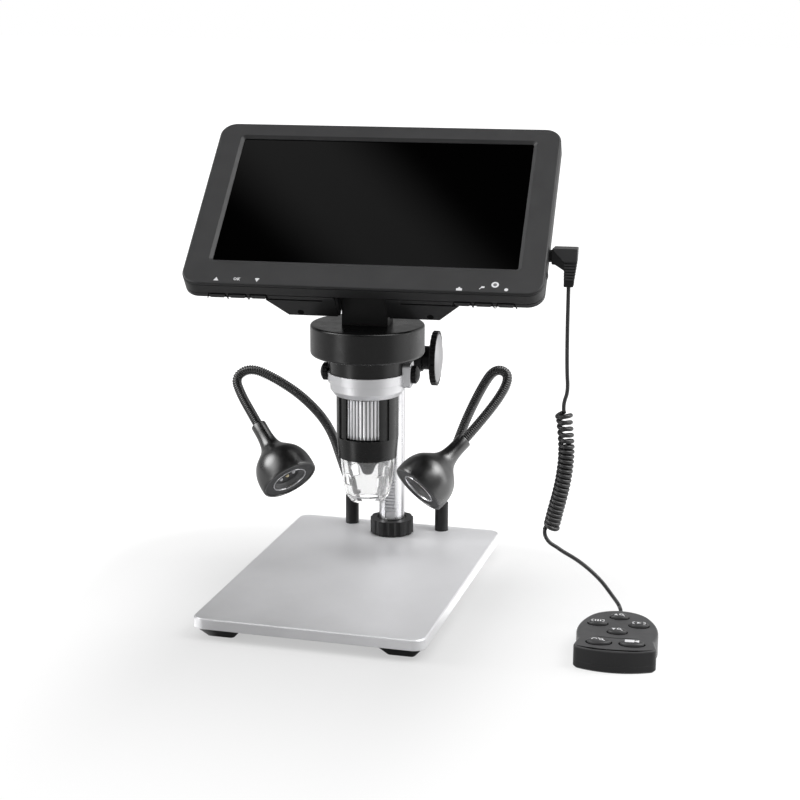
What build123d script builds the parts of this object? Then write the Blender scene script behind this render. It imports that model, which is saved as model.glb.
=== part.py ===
"""Desk-top LCD digital microscope: stage plate, rack-and-pinion column, camera head with a
tilting 7-inch screen, two gooseneck lamps and a wired remote control.

Millimetres, +Z up. The origin is the centre of the stage plate's top face and the user sits
on the -Y side. The column, carriage, head and screen are built facing straight along -Y in a
frame on the column's axis, and the whole group is then swung by column_yaw.
"""
from build123d import *
import math
import os

# ---------------------------------------------------------------- clearances
run_gap = 0.05            # radial gap of a running fit
seat_gap = 0.1            # gap round a piece dropped into its seat

# ---------------------------------------------------------------- stage plate
plate_width = 118.0
plate_depth = 175.5
plate_thick = 5.5
plate_corner = 6.0
plate_edge = 0.6          # bevel round the top face
foot_height = 5.5
foot_top = 23.0           # pad width against the plate
foot_base = 14.0          # pad width on the table
foot_inset = 13.0         # pad centre in from both plate edges
foot_round = 2.0
foot_screw_radius = 1.5
foot_screw_head = 3.0
foot_screw_head_height = 1.8
foot_screw_bite = 4.0     # thread length in the plate

# ---------------------------------------------------------------- column and lock ring
column_inset = 17.45      # column axis in from the plate's rear edge
column_yaw = 5.25         # how far the arm group is swung, degrees
column_radius = 7.1
column_top = 136.0
column_edge = 0.8
column_depth = 4.5        # length held below the stage face
socket_radius = 9.5
socket_height = 5.5
collet_height = 8.2
collet_radius = 7.8
collet_slit = 1.0
collet_slits = 4
ring_radius = 12.0
ring_recess = 0.4         # shallow seat in the plate round the socket
ring_height = 8.5
ring_mouth = 8.15
ring_lobes = 12
ring_lobe_depth = 0.6
ring_lobe_radius = 3.0

# ---------------------------------------------------------------- rack and pinion
gear_module = 0.6
gear_teeth = 16
gear_width = 4.4
gear_backlash = 0.12
tooth_crop = 0.05         # tip shortened from one module
pressure_angle = 20.0     # degrees
rack_width = 5.2
rack_groove = 3.4         # depth of the column's groove
rack_low = 9.5            # lower end of the strip
rack_end_land = 1.5       # plain strip above and below the teeth

# ---------------------------------------------------------------- carriage
carriage_low = 93.5
carriage_high = 119.5
carriage_half = 16.2
carriage_rear = 12.0      # behind the column axis
carriage_front = 20.0     # ahead of it
carriage_round = 5.0
bush_wall = 1.9
bush_length = 4.0
pinion_height = 103.5
shaft_radius = 2.5
boss_radius = 7.5
boss_length = 2.8
pinion_room = 0.7         # room round the pinion in the carriage
knob_radius = 14.9
knob_thick = 3.2
knob_start = 24.2         # inner face of the knob's rim
knob_lobes = 24
knob_lobe_depth = 0.45
knob_lobe_radius = 1.6
knob_collar_radius = 6.45
knob_face_radius = 13.2
knob_face_bulge = 2.0
knob_face_sink = 1.2

# ---------------------------------------------------------------- head holder
lens_reach = 72.0         # lens axis ahead of the column axis
holder_low = 97.4
holder_high = 109.1
holder_radius = 20.3
holder_seat_radius = 18.0
holder_seat = 104.6       # height of the ledge that the head sits on
holder_foot_radius = 16.9
holder_band = 104.3        # lower end of the widest band
holder_step = 0.9         # step in under the band
holder_bevel = 100.2      # start of the lower bevel
arm_half = 6.5
arm_low = 97.5
arm_high = 108.0
arm_flange_half = 12.0
arm_flange_thick = 3.0
arm_flange_low = 95.0
arm_flange_high = 118.0
arm_screw_radius = 1.5
arm_screw_head = 2.4
arm_screw_head_height = 1.6
arm_screw_bite = 4.0
arm_screw_side = 9.3
arm_screw_heights = (98.5, 114.5)
lug_reach = 23.0
lug_half = 5.5
lug_low = 102.0
lug_high = 114.5
thumb_height = 108.2
thumb_head_radius = 4.6
thumb_head_length = 4.0
thumb_head_gap = 0.2      # head clear of the lug or ring it tightens on
thumb_dome = 1.8
thumb_shank_radius = 1.5
thumb_dog_radius = 0.8
thumb_flutes = 14
thumb_flute_radius = 0.6

# ---------------------------------------------------------------- camera head
collar_radius = 19.6
collar_high = 118.0
disc_radius = 29.2
disc_high = 134.0
disc_edge = 1.2
disc_lower_edge = 2.0
head_bore = 14.4
head_cavity_radius = 25.5
head_cavity_low = 121.0
head_cavity_high = 131.0
head_throat = 10.0
sensor_board_radius = 19.0
sensor_chip_half = 5.0
sensor_chip_thick = 1.5
sensor_plug = (6.0, 14.0, 6.0, 3.0)   # start, end, width and height
board_thick = 1.6
barrel_radius = 16.0
barrel_tip_radius = 15.1
barrel_tip = 64.4
barrel_bore = 14.2
barrel_lip = 1.2          # height of the barrel's straight lower lip
window_low = 75.3
window_high = 96.9
window_half_angle = 35.0  # opening through the wall
window_recess_angle = 54.0
window_recess = 0.7
wheel_low = 75.7
wheel_high = 96.5
wheel_radius = 13.5
wheel_ribs = 40
wheel_rib_height = 0.6
cell_radius = 11.4
cell_top = 101.0
cell_shoulder = 71.0
cell_neck_radius = 9.4
cone_top = 66.4
cone_tip = 54.4
cone_tip_radius = 2.2
cone_waist = 62.4
cone_waist_radius = 6.4
cell_wall = 1.4
lens_radius = 1.5
lens_thick = 1.2
led_board_low = 65.9
led_board_inner = 9.8
led_count = 8
led_radius = 0.9
led_height = 1.0

# ---------------------------------------------------------------- light hood
hood_spigot_radius = 14.1
hood_spigot_top = 69.0
hood_waist_radius = 12.5
hood_waist = 49.0
hood_bottom = 40.7
hood_mouth_radius = 7.6
hood_wall = 1.2
hood_knee_in = 1.2
hood_knee_rise = 3.4
hood_slot_half = 2.6
hood_slot_low = 50.5
hood_slot_top = 56.8

# ---------------------------------------------------------------- screen
screen_lean = 38.58       # glass angle from level, degrees
hinge_height = 156.6
hinge_radius = 2.0
hinge_v = -40.5           # hinge axis in the screen's own frame
hinge_d = -14.0
neck_half = 11.8
neck_depth = 15.0
notch_half = 13.3
notch_low = -61.0
notch_high = -31.0
notch_floor = -6.2
notch_floor_thick = 1.2
cheek_wall = 6.5
screen_width = 182.6
screen_top = 54.2
screen_bottom = -60.3
screen_corner = 8.5
screen_front = 1.5
screen_edge = 1.0
screen_seam = -5.8
screen_back = -11.0
screen_wall = 2.0
seam_groove = 0.4         # depth and width of the shadow line at the seam
bezel_line = (-0.1, 0.3)  # fine groove round the bezel's side
bezel_line_depth = 0.35
view_bevel = 1.8          # slope from the bezel's face down to the glass
view_bevel_start = 0.4
back_edge = 2.5
view_width = 155.0
view_height = 87.0
view_corner = 1.0
glass_lip = 1.6
glass_thick = 1.1
panel_width = 165.0
panel_height = 100.0
panel_thick = 3.4
board_half = 78.0
board_low = -53.0
board_high = 48.0
board_face = -6.2
main_chip_side = 20.0
main_chip_spot = (-24.0, 24.0)
main_chip_thick = 1.2
hump_half = 49.0
hump_half_back = 38.5
hump_back = -22.0
hump_low = -59.0
hump_high = 23.0
battery_half = 28.0
battery_low = -22.0
battery_high = 8.0
battery_face = -9.6
battery_thick = 9.0
vent_count = 5
vent_half = 15.0
vent_width = 1.6
vent_pitch = 4.4
vent_low = -19.0
vent_depth = 0.8
case_holes = ((-32.1, -19.5), (34.0, -19.8))   # blind holes in the swelling's underside
case_hole_radius = 0.9
case_hole_depth = 1.4
screw_side = 86.3
screw_rows = (45.0, -50.5)
screw_boss = 2.5
screw_radius = 1.0
screw_head = 1.9
screw_head_height = 1.4
button_spans = ((-77.5, -68.7), (-67.1, -58.1), (-56.0, -47.5), (47.0, 55.4), (57.4, 66.0), (68.5, 77.1))
button_names = ("button_up", "button_ok", "button_down", "button_record", "button_mode", "button_power")
button_front = -6.3
button_back = -8.5
button_proud = 0.4
button_inside = 2.8       # length inside the wall's outer face
button_travel = 0.6       # room behind a button for its press
button_taper = 0.9        # how much the outline draws in at each end, towards the back
button_gap = 0.15
dial_radius = 4.3
dial_proud = 0.8
dial_thick = 2.0
dial_v = -43.0
dial_d = -3.9

# ---------------------------------------------------------------- power lead
jack_v = -28.0
jack_d = -6.0
jack_bore = 1.8
jack_half = 4.4
plug_pin_radius = 1.75
plug_pin_length = 7.0
plug_collar_radius = 2.5
plug_collar = 1.5
plug_reach = 14.7         # far side of the plug, out from the wall
plug_top = 4.4
plug_shoulder = -3.3
plug_half = 4.2
plug_leg = 9.9            # leg axis, out from the wall
plug_leg_bottom = -15.0
plug_leg_radius = 3.4
plug_tail_radius = 2.4
plug_grooves = 5
cord_radius = 1.0
coil_radius = 4.25

# ---------------------------------------------------------------- lamps
lamp_spread = 26.3
lamp_inset = 7.25         # lamp posts in from the plate's rear edge
lamp_sleeve_radius = 3.75
lamp_sleeve_height = 16.0
neck_radius = 2.675
lamp_length = 37.9
lamp_tail_radius = 4.2
lamp_bell = ((15.3, 0.0), (15.7, 1.2), (15.8, 4.0), (15.5, 8.0), (14.6, 11.5), (12.8, 15.0), (10.0, 18.0),
             (7.4, 20.5), (5.7, 23.0), (4.8, 26.0), (4.35, 29.5))   # radius and distance from the mouth
lamp_tail_start = 32.5    # start of the straight tail
lamp_face_recess = 1.0
lamp_face_radius = 13.4
lamp_face_thick = 3.0
lamp_ring_radius = 9.25
lamp_ring_width = 1.0
lamp_ring_proud = 0.8
lamp_led_radius = 2.4
lamp_led_circle = 4.2
neck_grip = 9.0           # length of neck inside the lamp's tail
neck_first_reach = 3.0    # the neck starts to bend at the sleeve's mouth
left_face = (-17.6, -58.5, 40.0)      # bell mouths, from their own posts
left_aim = (0.615, -0.421, -0.665)
right_face = (-0.9, -50.5, 38.2)
right_aim = (-0.534, -0.580, -0.616)

# ---------------------------------------------------------------- remote control
remote_x = 145.7
remote_y = -49.5
remote_yaw = 5.0
remote_height = 11.6
remote_seam = 3.8         # height of the joint between the shells
remote_wall = 1.6
remote_edge = 1.4
remote_half_width = 19.6
remote_side_round = 40.3  # radius of the long sides
remote_mid = 1.0          # widest place ahead of the middle
remote_rear_round = 16.6
remote_waist = 12.0       # waist ahead of the middle
remote_waist_blend = 3.0
remote_flare_half = 19.9
remote_flare = 22.5       # front corners ahead of the middle
remote_corner_round = 3.5
remote_front = 27.4       # front end ahead of the middle
remote_button_names = ("remote_up", "remote_left", "remote_right", "remote_down", "remote_zoom", "remote_snap")
remote_button_places = ((0.0, -16.9), (-9.9, -7.2), (9.9, -7.2), (0.0, 2.9), (-7.8, 17.3), (7.8, 17.3))
remote_button_sizes = ((9.2, 6.2), (9.7, 6.6), (9.7, 6.6), (9.6, 6.6), (12.0, 7.8), (12.0, 7.8))
remote_button_proud = 1.0
remote_button_sunk = 3.0
grommet_radius = 2.0
grommet_length = 2.5
grommet_drop = 5.2        # grommet axis below the remote's top

# ---------------------------------------------------------------- derived places
floor_height = -plate_thick - foot_height
column_back = plate_depth / 2 - column_inset
lamp_back = plate_depth / 2 - lamp_inset
column_place = Pos(0, column_back, 0) * Rot(0, 0, column_yaw)
lens_place = Pos(0, -lens_reach, 0)
hinge_place = Pos(0, -lens_reach, hinge_height)
screen_place = hinge_place * Rot(screen_lean, 0, 0) * Pos(0, -hinge_v, -hinge_d)
screen_mid = (screen_top + screen_bottom) / 2
screen_height = screen_top - screen_bottom
screen_side = screen_width / 2
gear_pitch_radius = gear_module * gear_teeth / 2
gear_tip_radius = gear_pitch_radius + gear_module - tooth_crop
gear_root_radius = gear_pitch_radius - 1.25 * gear_module
rack_pitch = math.pi * gear_module
rack_crest = math.sqrt(column_radius ** 2 - (rack_width / 2) ** 2) - run_gap
rack_line = rack_crest - gear_module + tooth_crop
rack_root = rack_line - 1.25 * gear_module
pinion_reach = rack_line + gear_pitch_radius
bush_radius = column_radius + run_gap + bush_wall
barrel_top = holder_seat
remote_side_centre = remote_side_round - remote_half_width
remote_rear_centre = math.sqrt((remote_side_round - remote_rear_round) ** 2 - remote_side_centre ** 2) - remote_mid
remote_rear = remote_rear_centre + remote_rear_round


# ---------------------------------------------------------------- shape helpers
def save(name, shape, place=Pos(0, 0, 0)):
    """Write one sub-part, moved to its place, as its own STEP file."""
    os.makedirs("parts", exist_ok=True)
    export_step(place * shape, "parts/" + name + ".step")


def disc(radius, low, high, x=0.0, y=0.0):
    """Upright cylinder between two heights."""
    return Pos(x, y, (low + high) / 2) * Cylinder(radius, high - low)


def cross_rod(radius, start, end):
    """Cylinder along X between two places."""
    return Pos((start + end) / 2, 0, 0) * Rot(0, 90, 0) * Cylinder(radius, end - start)


def block(xs, ys, zs):
    """Box between pairs of coordinates."""
    centre = Pos(sum(xs) / 2, sum(ys) / 2, sum(zs) / 2)
    return centre * Box(xs[1] - xs[0], ys[1] - ys[0], zs[1] - zs[0])


def turned(points):
    """Solid of revolution about Z from a closed outline of (radius, height) points."""
    outline = Plane.XZ * make_face(Polyline(*points, close=True))
    return revolve(outline, Axis.Z)


def prism_x(points, start, end):
    """Closed outline of (y, z) points swept along X."""
    outline = Plane.YZ * make_face(Polyline(*points, close=True))
    return Pos(start, 0, 0) * extrude(outline, end - start, dir=(1, 0, 0))


def prism_y(points, start, end):
    """Closed outline of (x, z) points swept along Y."""
    outline = Plane.XZ * make_face(Polyline(*points, close=True))
    return Pos(0, start, 0) * extrude(outline, end - start, dir=(0, 1, 0))


def capped(cylinder, axis, apex, radius, rise):
    """Cylinder whose end at apex along +X or +Z is rounded to a shallow dome."""
    sphere = (radius ** 2 + rise ** 2) / (2 * rise)
    centre = Pos(*[(apex - sphere) * a for a in axis])
    return cylinder & (centre * Sphere(sphere))


def group(shapes):
    """Several separate solids kept in one sub-part."""
    return Compound([solid for shape in shapes for solid in shape.solids()])


def gear_outline(radius_out, turns, notch_radius, notch_depth):
    """Circle with evenly spaced shallow scallops."""
    outline = Circle(radius_out)
    reach = radius_out + notch_radius - notch_depth
    notches = [Rot(0, 0, 360 * k / turns) * Pos(reach, 0) * Circle(notch_radius) for k in range(turns)]
    return outline - Sketch() - notches


# ---------------------------------------------------------------- stage
def foot_places():
    reach_x = plate_width / 2 - foot_inset
    reach_y = plate_depth / 2 - foot_inset
    return [Pos(sx * reach_x, sy * reach_y, 0) for sx in (-1, 1) for sy in (-1, 1)]


def make_base_plate():
    plate = extrude(RectangleRounded(plate_width, plate_depth, plate_corner), -plate_thick)
    plate = chamfer(plate.faces().sort_by(Axis.Z)[-1].edges(), plate_edge)
    plate -= disc(socket_radius + seat_gap, -plate_thick - 1, 1, 0, column_back)
    plate -= disc(ring_radius + seat_gap, -ring_recess, 1, 0, column_back)
    for side in (-1, 1):
        plate -= disc(lamp_sleeve_radius + seat_gap, -plate_thick - 1, 1, side * lamp_spread, lamp_back)
    for place in foot_places():
        plate -= place * disc(foot_screw_radius, -plate_thick - 1, -plate_thick + foot_screw_bite)
    return plate


def make_rubber_feet():
    top = RectangleRounded(foot_top, foot_top, foot_round)
    base = Pos(0, 0, -foot_height) * RectangleRounded(foot_base, foot_base, foot_round)
    pad = loft([base, top])
    pad -= disc(foot_screw_radius + seat_gap, -foot_height - 1, 1)
    pad -= disc(foot_screw_head + seat_gap, -foot_height - 1, -foot_height + foot_screw_head_height + 1)
    return group([place * Pos(0, 0, -plate_thick) * pad for place in foot_places()])


def make_foot_screws():
    head_low = -plate_thick - foot_height + 1
    head_high = head_low + foot_screw_head_height
    screw = disc(foot_screw_head, head_low, head_high)
    screw += disc(foot_screw_radius, head_high, -plate_thick + foot_screw_bite)
    return group([place * screw for place in foot_places()])


def make_column_socket():
    floor_top = -column_depth
    body = turned([(0, -plate_thick), (socket_radius, -plate_thick), (socket_radius, socket_height),
                   (collet_radius, collet_height), (0, collet_height)])
    body -= disc(column_radius + run_gap, floor_top, collet_height + 1)
    for k in range(collet_slits):
        slit = block((column_radius - 2, socket_radius + 1), (-collet_slit / 2, collet_slit / 2),
                     (socket_height / 2, collet_height + 1))
        body -= Rot(0, 0, 45 + 360 * k / collet_slits) * slit
    return body


def make_lock_ring():
    ring = extrude(gear_outline(ring_radius, ring_lobes, ring_lobe_radius, ring_lobe_depth), ring_height - seat_gap)
    ring = Pos(0, 0, seat_gap) * ring
    inner = socket_radius + run_gap
    bore = turned([(0, 0), (inner, 0), (inner, socket_height + seat_gap), (ring_mouth, ring_height + 0.01),
                   (0, ring_height + 0.01)])
    return ring - bore


def make_lamp_sockets():
    sleeve = disc(lamp_sleeve_radius, -plate_thick, lamp_sleeve_height)
    sleeve -= disc(neck_radius + run_gap, 1, lamp_sleeve_height + 1)
    return group([Pos(side * lamp_spread, lamp_back, 0) * sleeve for side in (-1, 1)])


# ---------------------------------------------------------------- column
def make_column_rod():
    rod = disc(column_radius, -column_depth, column_top)
    rod = chamfer(rod.faces().sort_by(Axis.Z)[-1].edges(), column_edge)
    half = rack_width / 2 + run_gap
    floor_y = -(column_radius - rack_groove)
    return rod - block((-half, half), (-column_radius - 1, floor_y), (rack_low, column_top + 1))


def make_focus_rack():
    """Toothed strip: its teeth are counted from the pinion, so a gap always faces a tooth."""
    top = column_top - column_edge
    first = math.ceil((rack_low + rack_end_land - pinion_height) / rack_pitch + 0.5)
    last = math.floor((top - rack_end_land - pinion_height) / rack_pitch - 0.5)
    lean = math.tan(math.radians(pressure_angle))
    half_crest = rack_pitch / 4 - gear_backlash / 4 - (rack_crest - rack_line) * lean
    half_root = rack_pitch / 4 - gear_backlash / 4 + (rack_line - rack_root) * lean
    points = [(-(column_radius - rack_groove), rack_low), (-rack_root, rack_low)]
    for k in range(first, last + 1):
        centre = pinion_height + k * rack_pitch
        points += [(-rack_root, centre - half_root), (-rack_crest, centre - half_crest),
                   (-rack_crest, centre + half_crest), (-rack_root, centre + half_root)]
    points += [(-rack_root, top), (-(column_radius - rack_groove), top)]
    return prism_x(points, -rack_width / 2, rack_width / 2)


def involute(angle):
    return math.tan(angle) - angle


def pinion_outline():
    """Involute spur gear with a tooth gap on its +X side."""
    base_radius = gear_pitch_radius * math.cos(math.radians(pressure_angle))
    half_pitch = (rack_pitch / 2 - gear_backlash / 2) / (2 * gear_pitch_radius)
    radii = [base_radius, (base_radius + gear_pitch_radius) / 2, gear_pitch_radius,
             (gear_pitch_radius + gear_tip_radius) / 2, gear_tip_radius]
    spread = []
    for radius in radii:
        alpha = math.acos(base_radius / radius)
        spread.append(half_pitch + involute(math.radians(pressure_angle)) - involute(alpha))
    flank = [(gear_root_radius, spread[0])] + list(zip(radii, spread))
    points = []
    for tooth in range(gear_teeth):
        middle = (tooth + 0.5) * 2 * math.pi / gear_teeth
        sides = [(radius, middle - angle) for radius, angle in flank]
        sides += [(radius, middle + angle) for radius, angle in reversed(flank)]
        points += [(radius * math.cos(angle), radius * math.sin(angle)) for radius, angle in sides]
    return make_face(Polyline(*points, close=True))


def pinion_place():
    return Pos(0, -pinion_reach, pinion_height)


def make_pinion_shaft():
    """Pinion and its cross shaft in one piece."""
    gear = Plane.YZ * pinion_outline()
    gear = Pos(-gear_width / 2, 0, 0) * extrude(gear, gear_width)
    end = knob_start + knob_thick - seat_gap
    return gear + cross_rod(shaft_radius, -end, end)


# ---------------------------------------------------------------- carriage
def make_carriage_housing():
    depth = carriage_rear + carriage_front
    middle = (carriage_rear - carriage_front) / 2
    outline = Pos(0, middle) * RectangleRounded(2 * carriage_half, depth, carriage_round)
    body = Pos(0, 0, carriage_low) * extrude(outline, carriage_high - carriage_low)
    body = chamfer(body.faces().sort_by(Axis.Z)[-1].edges(), 0.8)
    outer = carriage_half + boss_length
    body += pinion_place() * cross_rod(boss_radius, -outer, outer)
    body -= disc(bush_radius, carriage_low - 1, carriage_high + 1)
    room = gear_tip_radius + pinion_room
    body -= pinion_place() * cross_rod(room, -gear_width / 2 - pinion_room, gear_width / 2 + pinion_room)
    body -= pinion_place() * cross_rod(shaft_radius + run_gap, -outer - 1, outer + 1)
    for side in (-1, 1):
        for height in arm_screw_heights:
            hole = Rot(90, 0, 0) * Cylinder(arm_screw_radius, arm_screw_bite * 2)
            body -= Pos(side * arm_screw_side, -carriage_front, height) * hole
    return body


def make_carriage_bushes():
    bush = disc(bush_radius, 0, bush_length) - disc(column_radius + run_gap, -1, bush_length + 1)
    return group([Pos(0, 0, carriage_low) * bush, Pos(0, 0, carriage_high - bush_length) * bush])


def make_focus_knobs():
    collar_start = carriage_half + boss_length + seat_gap
    rim = extrude(gear_outline(knob_radius, knob_lobes, knob_lobe_radius, knob_lobe_depth), knob_thick)
    rim = Pos(0, 0, knob_start) * chamfer(rim.faces().sort_by(Axis.Z)[0].edges(), 0.4)
    knob = rim + disc(knob_collar_radius, collar_start, knob_start)
    knob -= disc(shaft_radius, collar_start - 1, knob_start + knob_thick + 1)
    knob -= disc(knob_face_radius, knob_start + knob_thick - knob_face_sink, knob_start + knob_thick + 1)
    return group([pinion_place() * Rot(0, side * 90, 0) * knob for side in (-1, 1)])


def make_knob_faces():
    """Domed caps that fill the knobs' outer faces."""
    base = knob_start + knob_thick - knob_face_sink
    apex = knob_start + knob_thick + knob_face_bulge
    radius = knob_face_radius - seat_gap
    face = capped(disc(radius, base, apex), (0, 0, 1), apex, radius, knob_face_bulge)
    face -= disc(shaft_radius + seat_gap, base - 1, base + knob_face_sink)
    return group([pinion_place() * Rot(0, side * 90, 0) * face for side in (-1, 1)])


def make_holder_ring():
    """Cup that takes the camera head, its lug, its arm and the bolted flange."""
    cup = turned([(barrel_radius + run_gap, holder_low), (holder_foot_radius, holder_low),
                  (holder_radius - 1.4 * holder_step, holder_bevel), (holder_radius - holder_step, holder_band),
                  (holder_radius, holder_band), (holder_radius, holder_high),
                  (holder_seat_radius, holder_high), (holder_seat_radius, holder_seat),
                  (barrel_radius + run_gap, holder_seat)])
    lug = block((barrel_radius + 1, lug_reach), (-lug_half, lug_half), (lug_low, lug_high))
    lug = fillet(lug.edges().filter_by(Axis.X), 2.0)
    arm = block((-arm_half, arm_half), (0, lens_reach - carriage_front), (arm_low, arm_high))
    flange_y = lens_reach - carriage_front
    flange = block((-arm_flange_half, arm_flange_half), (flange_y - arm_flange_thick, flange_y),
                   (arm_flange_low, arm_flange_high))
    flange = fillet(flange.edges().filter_by(Axis.Y), 2.0)
    body = cup + lug + arm + flange
    body -= disc(collar_radius + seat_gap, holder_high, lug_high + 1)
    body -= disc(holder_seat_radius, holder_seat, holder_high + 0.5)
    body -= disc(barrel_radius + run_gap, holder_low - 1, holder_seat + 0.5)
    screw_bore = Pos(0, 0, thumb_height) * cross_rod(thumb_shank_radius + run_gap, collar_radius + 0.3, lug_reach + 1)
    dog_bore = Pos(0, 0, thumb_height) * cross_rod(thumb_dog_radius + run_gap, holder_seat_radius - 1, lug_reach)
    body -= screw_bore + dog_bore
    body -= Rot(0, 0, 180) * (screw_bore + dog_bore)
    for side in (-1, 1):
        for height in arm_screw_heights:
            hole = Rot(90, 0, 0) * Cylinder(arm_screw_radius + seat_gap, arm_flange_thick * 4)
            body -= Pos(side * arm_screw_side, flange_y, height) * hole
    return body


def make_arm_screws():
    face = lens_reach - carriage_front - arm_flange_thick
    screws = []
    for side in (-1, 1):
        for height in arm_screw_heights:
            shank_length = arm_flange_thick + arm_screw_bite
            shank = Pos(0, face + shank_length / 2, 0) * Rot(90, 0, 0) * Cylinder(arm_screw_radius, shank_length)
            head_middle = face - arm_screw_head_height / 2
            head = Pos(0, head_middle, 0) * Rot(90, 0, 0) * Cylinder(arm_screw_head, arm_screw_head_height)
            screws.append(Pos(side * arm_screw_side, 0, height) * (shank + head))
    return group(screws)


def make_thumbscrew(start):
    """Clamping screw along +X from the head's neck, with its knob from start outwards."""
    end = start + thumb_head_length
    head = cross_rod(thumb_head_radius, start, end)
    screw = capped(head, (1, 0, 0), end, thumb_head_radius, thumb_dome)
    for k in range(thumb_flutes):
        angle = 360 * k / thumb_flutes
        flute = Pos(0, 0, thumb_head_radius + 0.3) * cross_rod(thumb_flute_radius, start - 1, end)
        screw -= Rot(angle, 0, 0) * flute
    screw += cross_rod(thumb_shank_radius, collar_radius + 0.4, start + 0.5)
    return screw + cross_rod(thumb_dog_radius, holder_seat_radius + run_gap, collar_radius + 1)


# ---------------------------------------------------------------- camera head
def make_head_housing():
    """Round electronics housing: seated neck, collar and wide disc, hollow for the sensor."""
    neck_radius_in_cup = holder_seat_radius - run_gap
    shell = turned([(0, holder_seat), (neck_radius_in_cup, holder_seat), (neck_radius_in_cup, holder_high + run_gap),
                    (collar_radius, holder_high + run_gap), (collar_radius, collar_high), (disc_radius, collar_high),
                    (disc_radius, disc_high), (0, disc_high)])
    rims = shell.edges().filter_by(GeomType.CIRCLE).group_by(SortBy.RADIUS)[-1].sort_by(Axis.Z)
    shell = fillet(rims[0], disc_lower_edge)
    rims = shell.edges().filter_by(GeomType.CIRCLE).filter_by(lambda edge: edge.center().Z > disc_high - 0.1)
    shell = fillet(rims, disc_edge)
    shell -= disc(head_bore, holder_seat - 1, collar_high - 2)
    shell -= disc(head_throat, collar_high - 3, head_cavity_low + 1)
    return shell - disc(head_cavity_radius, head_cavity_low, head_cavity_high)


def make_sensor_board():
    board = disc(sensor_board_radius, head_cavity_low, head_cavity_low + board_thick)
    half = sensor_chip_half
    chip = block((-half, half), (-half, half), (head_cavity_low - sensor_chip_thick, head_cavity_low))
    start, end, width, height = sensor_plug
    top = head_cavity_low + board_thick
    return board + chip + block((start, end), (-width / 2, width / 2), (top, top + height))


def make_screen_bracket():
    half_depth = neck_depth / 2
    post = block((-neck_half, neck_half), (-half_depth, half_depth), (disc_high, hinge_height))
    post += Pos(0, 0, hinge_height) * cross_rod(half_depth, -neck_half, neck_half)
    return post - Pos(0, 0, hinge_height) * cross_rod(hinge_radius, -neck_half - 1, neck_half + 1)


def hinge_pin_half():
    return notch_half + cheek_wall - 1.0


def make_hinge_pin():
    half = hinge_pin_half()
    return Pos(0, 0, hinge_height) * cross_rod(hinge_radius, -half, half)


def window_wedge(half_angle):
    """Wedge from the barrel's axis towards the front, over the window's height."""
    points = [(0, 0)]
    steps = 8
    for k in range(steps + 1):
        angle = math.radians(-90 - half_angle + 2 * half_angle * k / steps)
        points.append((2 * barrel_radius * math.cos(angle), 2 * barrel_radius * math.sin(angle)))
    return Pos(0, 0, window_low) * extrude(make_face(Polyline(*points, close=True)), window_high - window_low)


def make_barrel_shell():
    shell = turned([(barrel_bore, barrel_tip), (barrel_tip_radius, barrel_tip), (barrel_tip_radius, barrel_tip + barrel_lip),
                    (barrel_radius, window_low), (barrel_radius, barrel_top), (barrel_bore, barrel_top)])
    recess = window_wedge(window_recess_angle) - disc(barrel_radius - window_recess, window_low - 1, window_high + 1)
    return shell - window_wedge(window_half_angle) - recess


def make_focus_wheel():
    """Ribbed ring that turns behind the barrel's window."""
    points = []
    for k in range(wheel_ribs):
        for share, radius in ((-0.34, wheel_radius), (-0.2, wheel_radius + wheel_rib_height),
                              (0.2, wheel_radius + wheel_rib_height), (0.34, wheel_radius)):
            angle = 2 * math.pi * (k + share) / wheel_ribs
            points.append((radius * math.cos(angle), radius * math.sin(angle)))
    ring = extrude(make_face(Polyline(*points, close=True)), wheel_high - wheel_low)
    return Pos(0, 0, wheel_low) * ring - disc(cell_radius + run_gap, wheel_low - 1, wheel_high + 1)


def make_lens_cell():
    """Lens tube whose lower end is the long cone that points at the specimen."""
    outer = [(lens_radius, cone_tip), (cone_tip_radius, cone_tip), (cone_waist_radius, cone_waist),
             (cell_neck_radius, cone_top), (cell_neck_radius, cell_shoulder), (cell_radius, cell_shoulder),
             (cell_radius, cell_top)]
    inner = [(cell_radius - cell_wall, cell_top), (cell_radius - cell_wall, cell_shoulder + cell_wall),
             (cell_neck_radius - cell_wall, cell_shoulder), (cell_neck_radius - cell_wall, cone_top + 1),
             (cone_waist_radius - 2 * cell_wall, cone_waist + 1), (lens_radius, cone_tip + lens_thick + 1)]
    return turned(outer + inner)


def make_front_lens():
    return disc(lens_radius - run_gap, cone_tip + 0.3, cone_tip + 0.3 + lens_thick)


def make_led_board():
    """Ring of lights round the lens cone."""
    board = disc(barrel_bore - hood_wall - 2 * seat_gap, led_board_low, led_board_low + board_thick)
    board -= disc(led_board_inner, led_board_low - 1, led_board_low + board_thick + 1)
    circle = (led_board_inner + barrel_bore - hood_wall) / 2
    for k in range(led_count):
        led = Pos(circle, 0, 0) * disc(led_radius, led_board_low - led_height, led_board_low)
        board += Rot(0, 0, 360 * (k + 0.5) / led_count) * led
    return board


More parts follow.
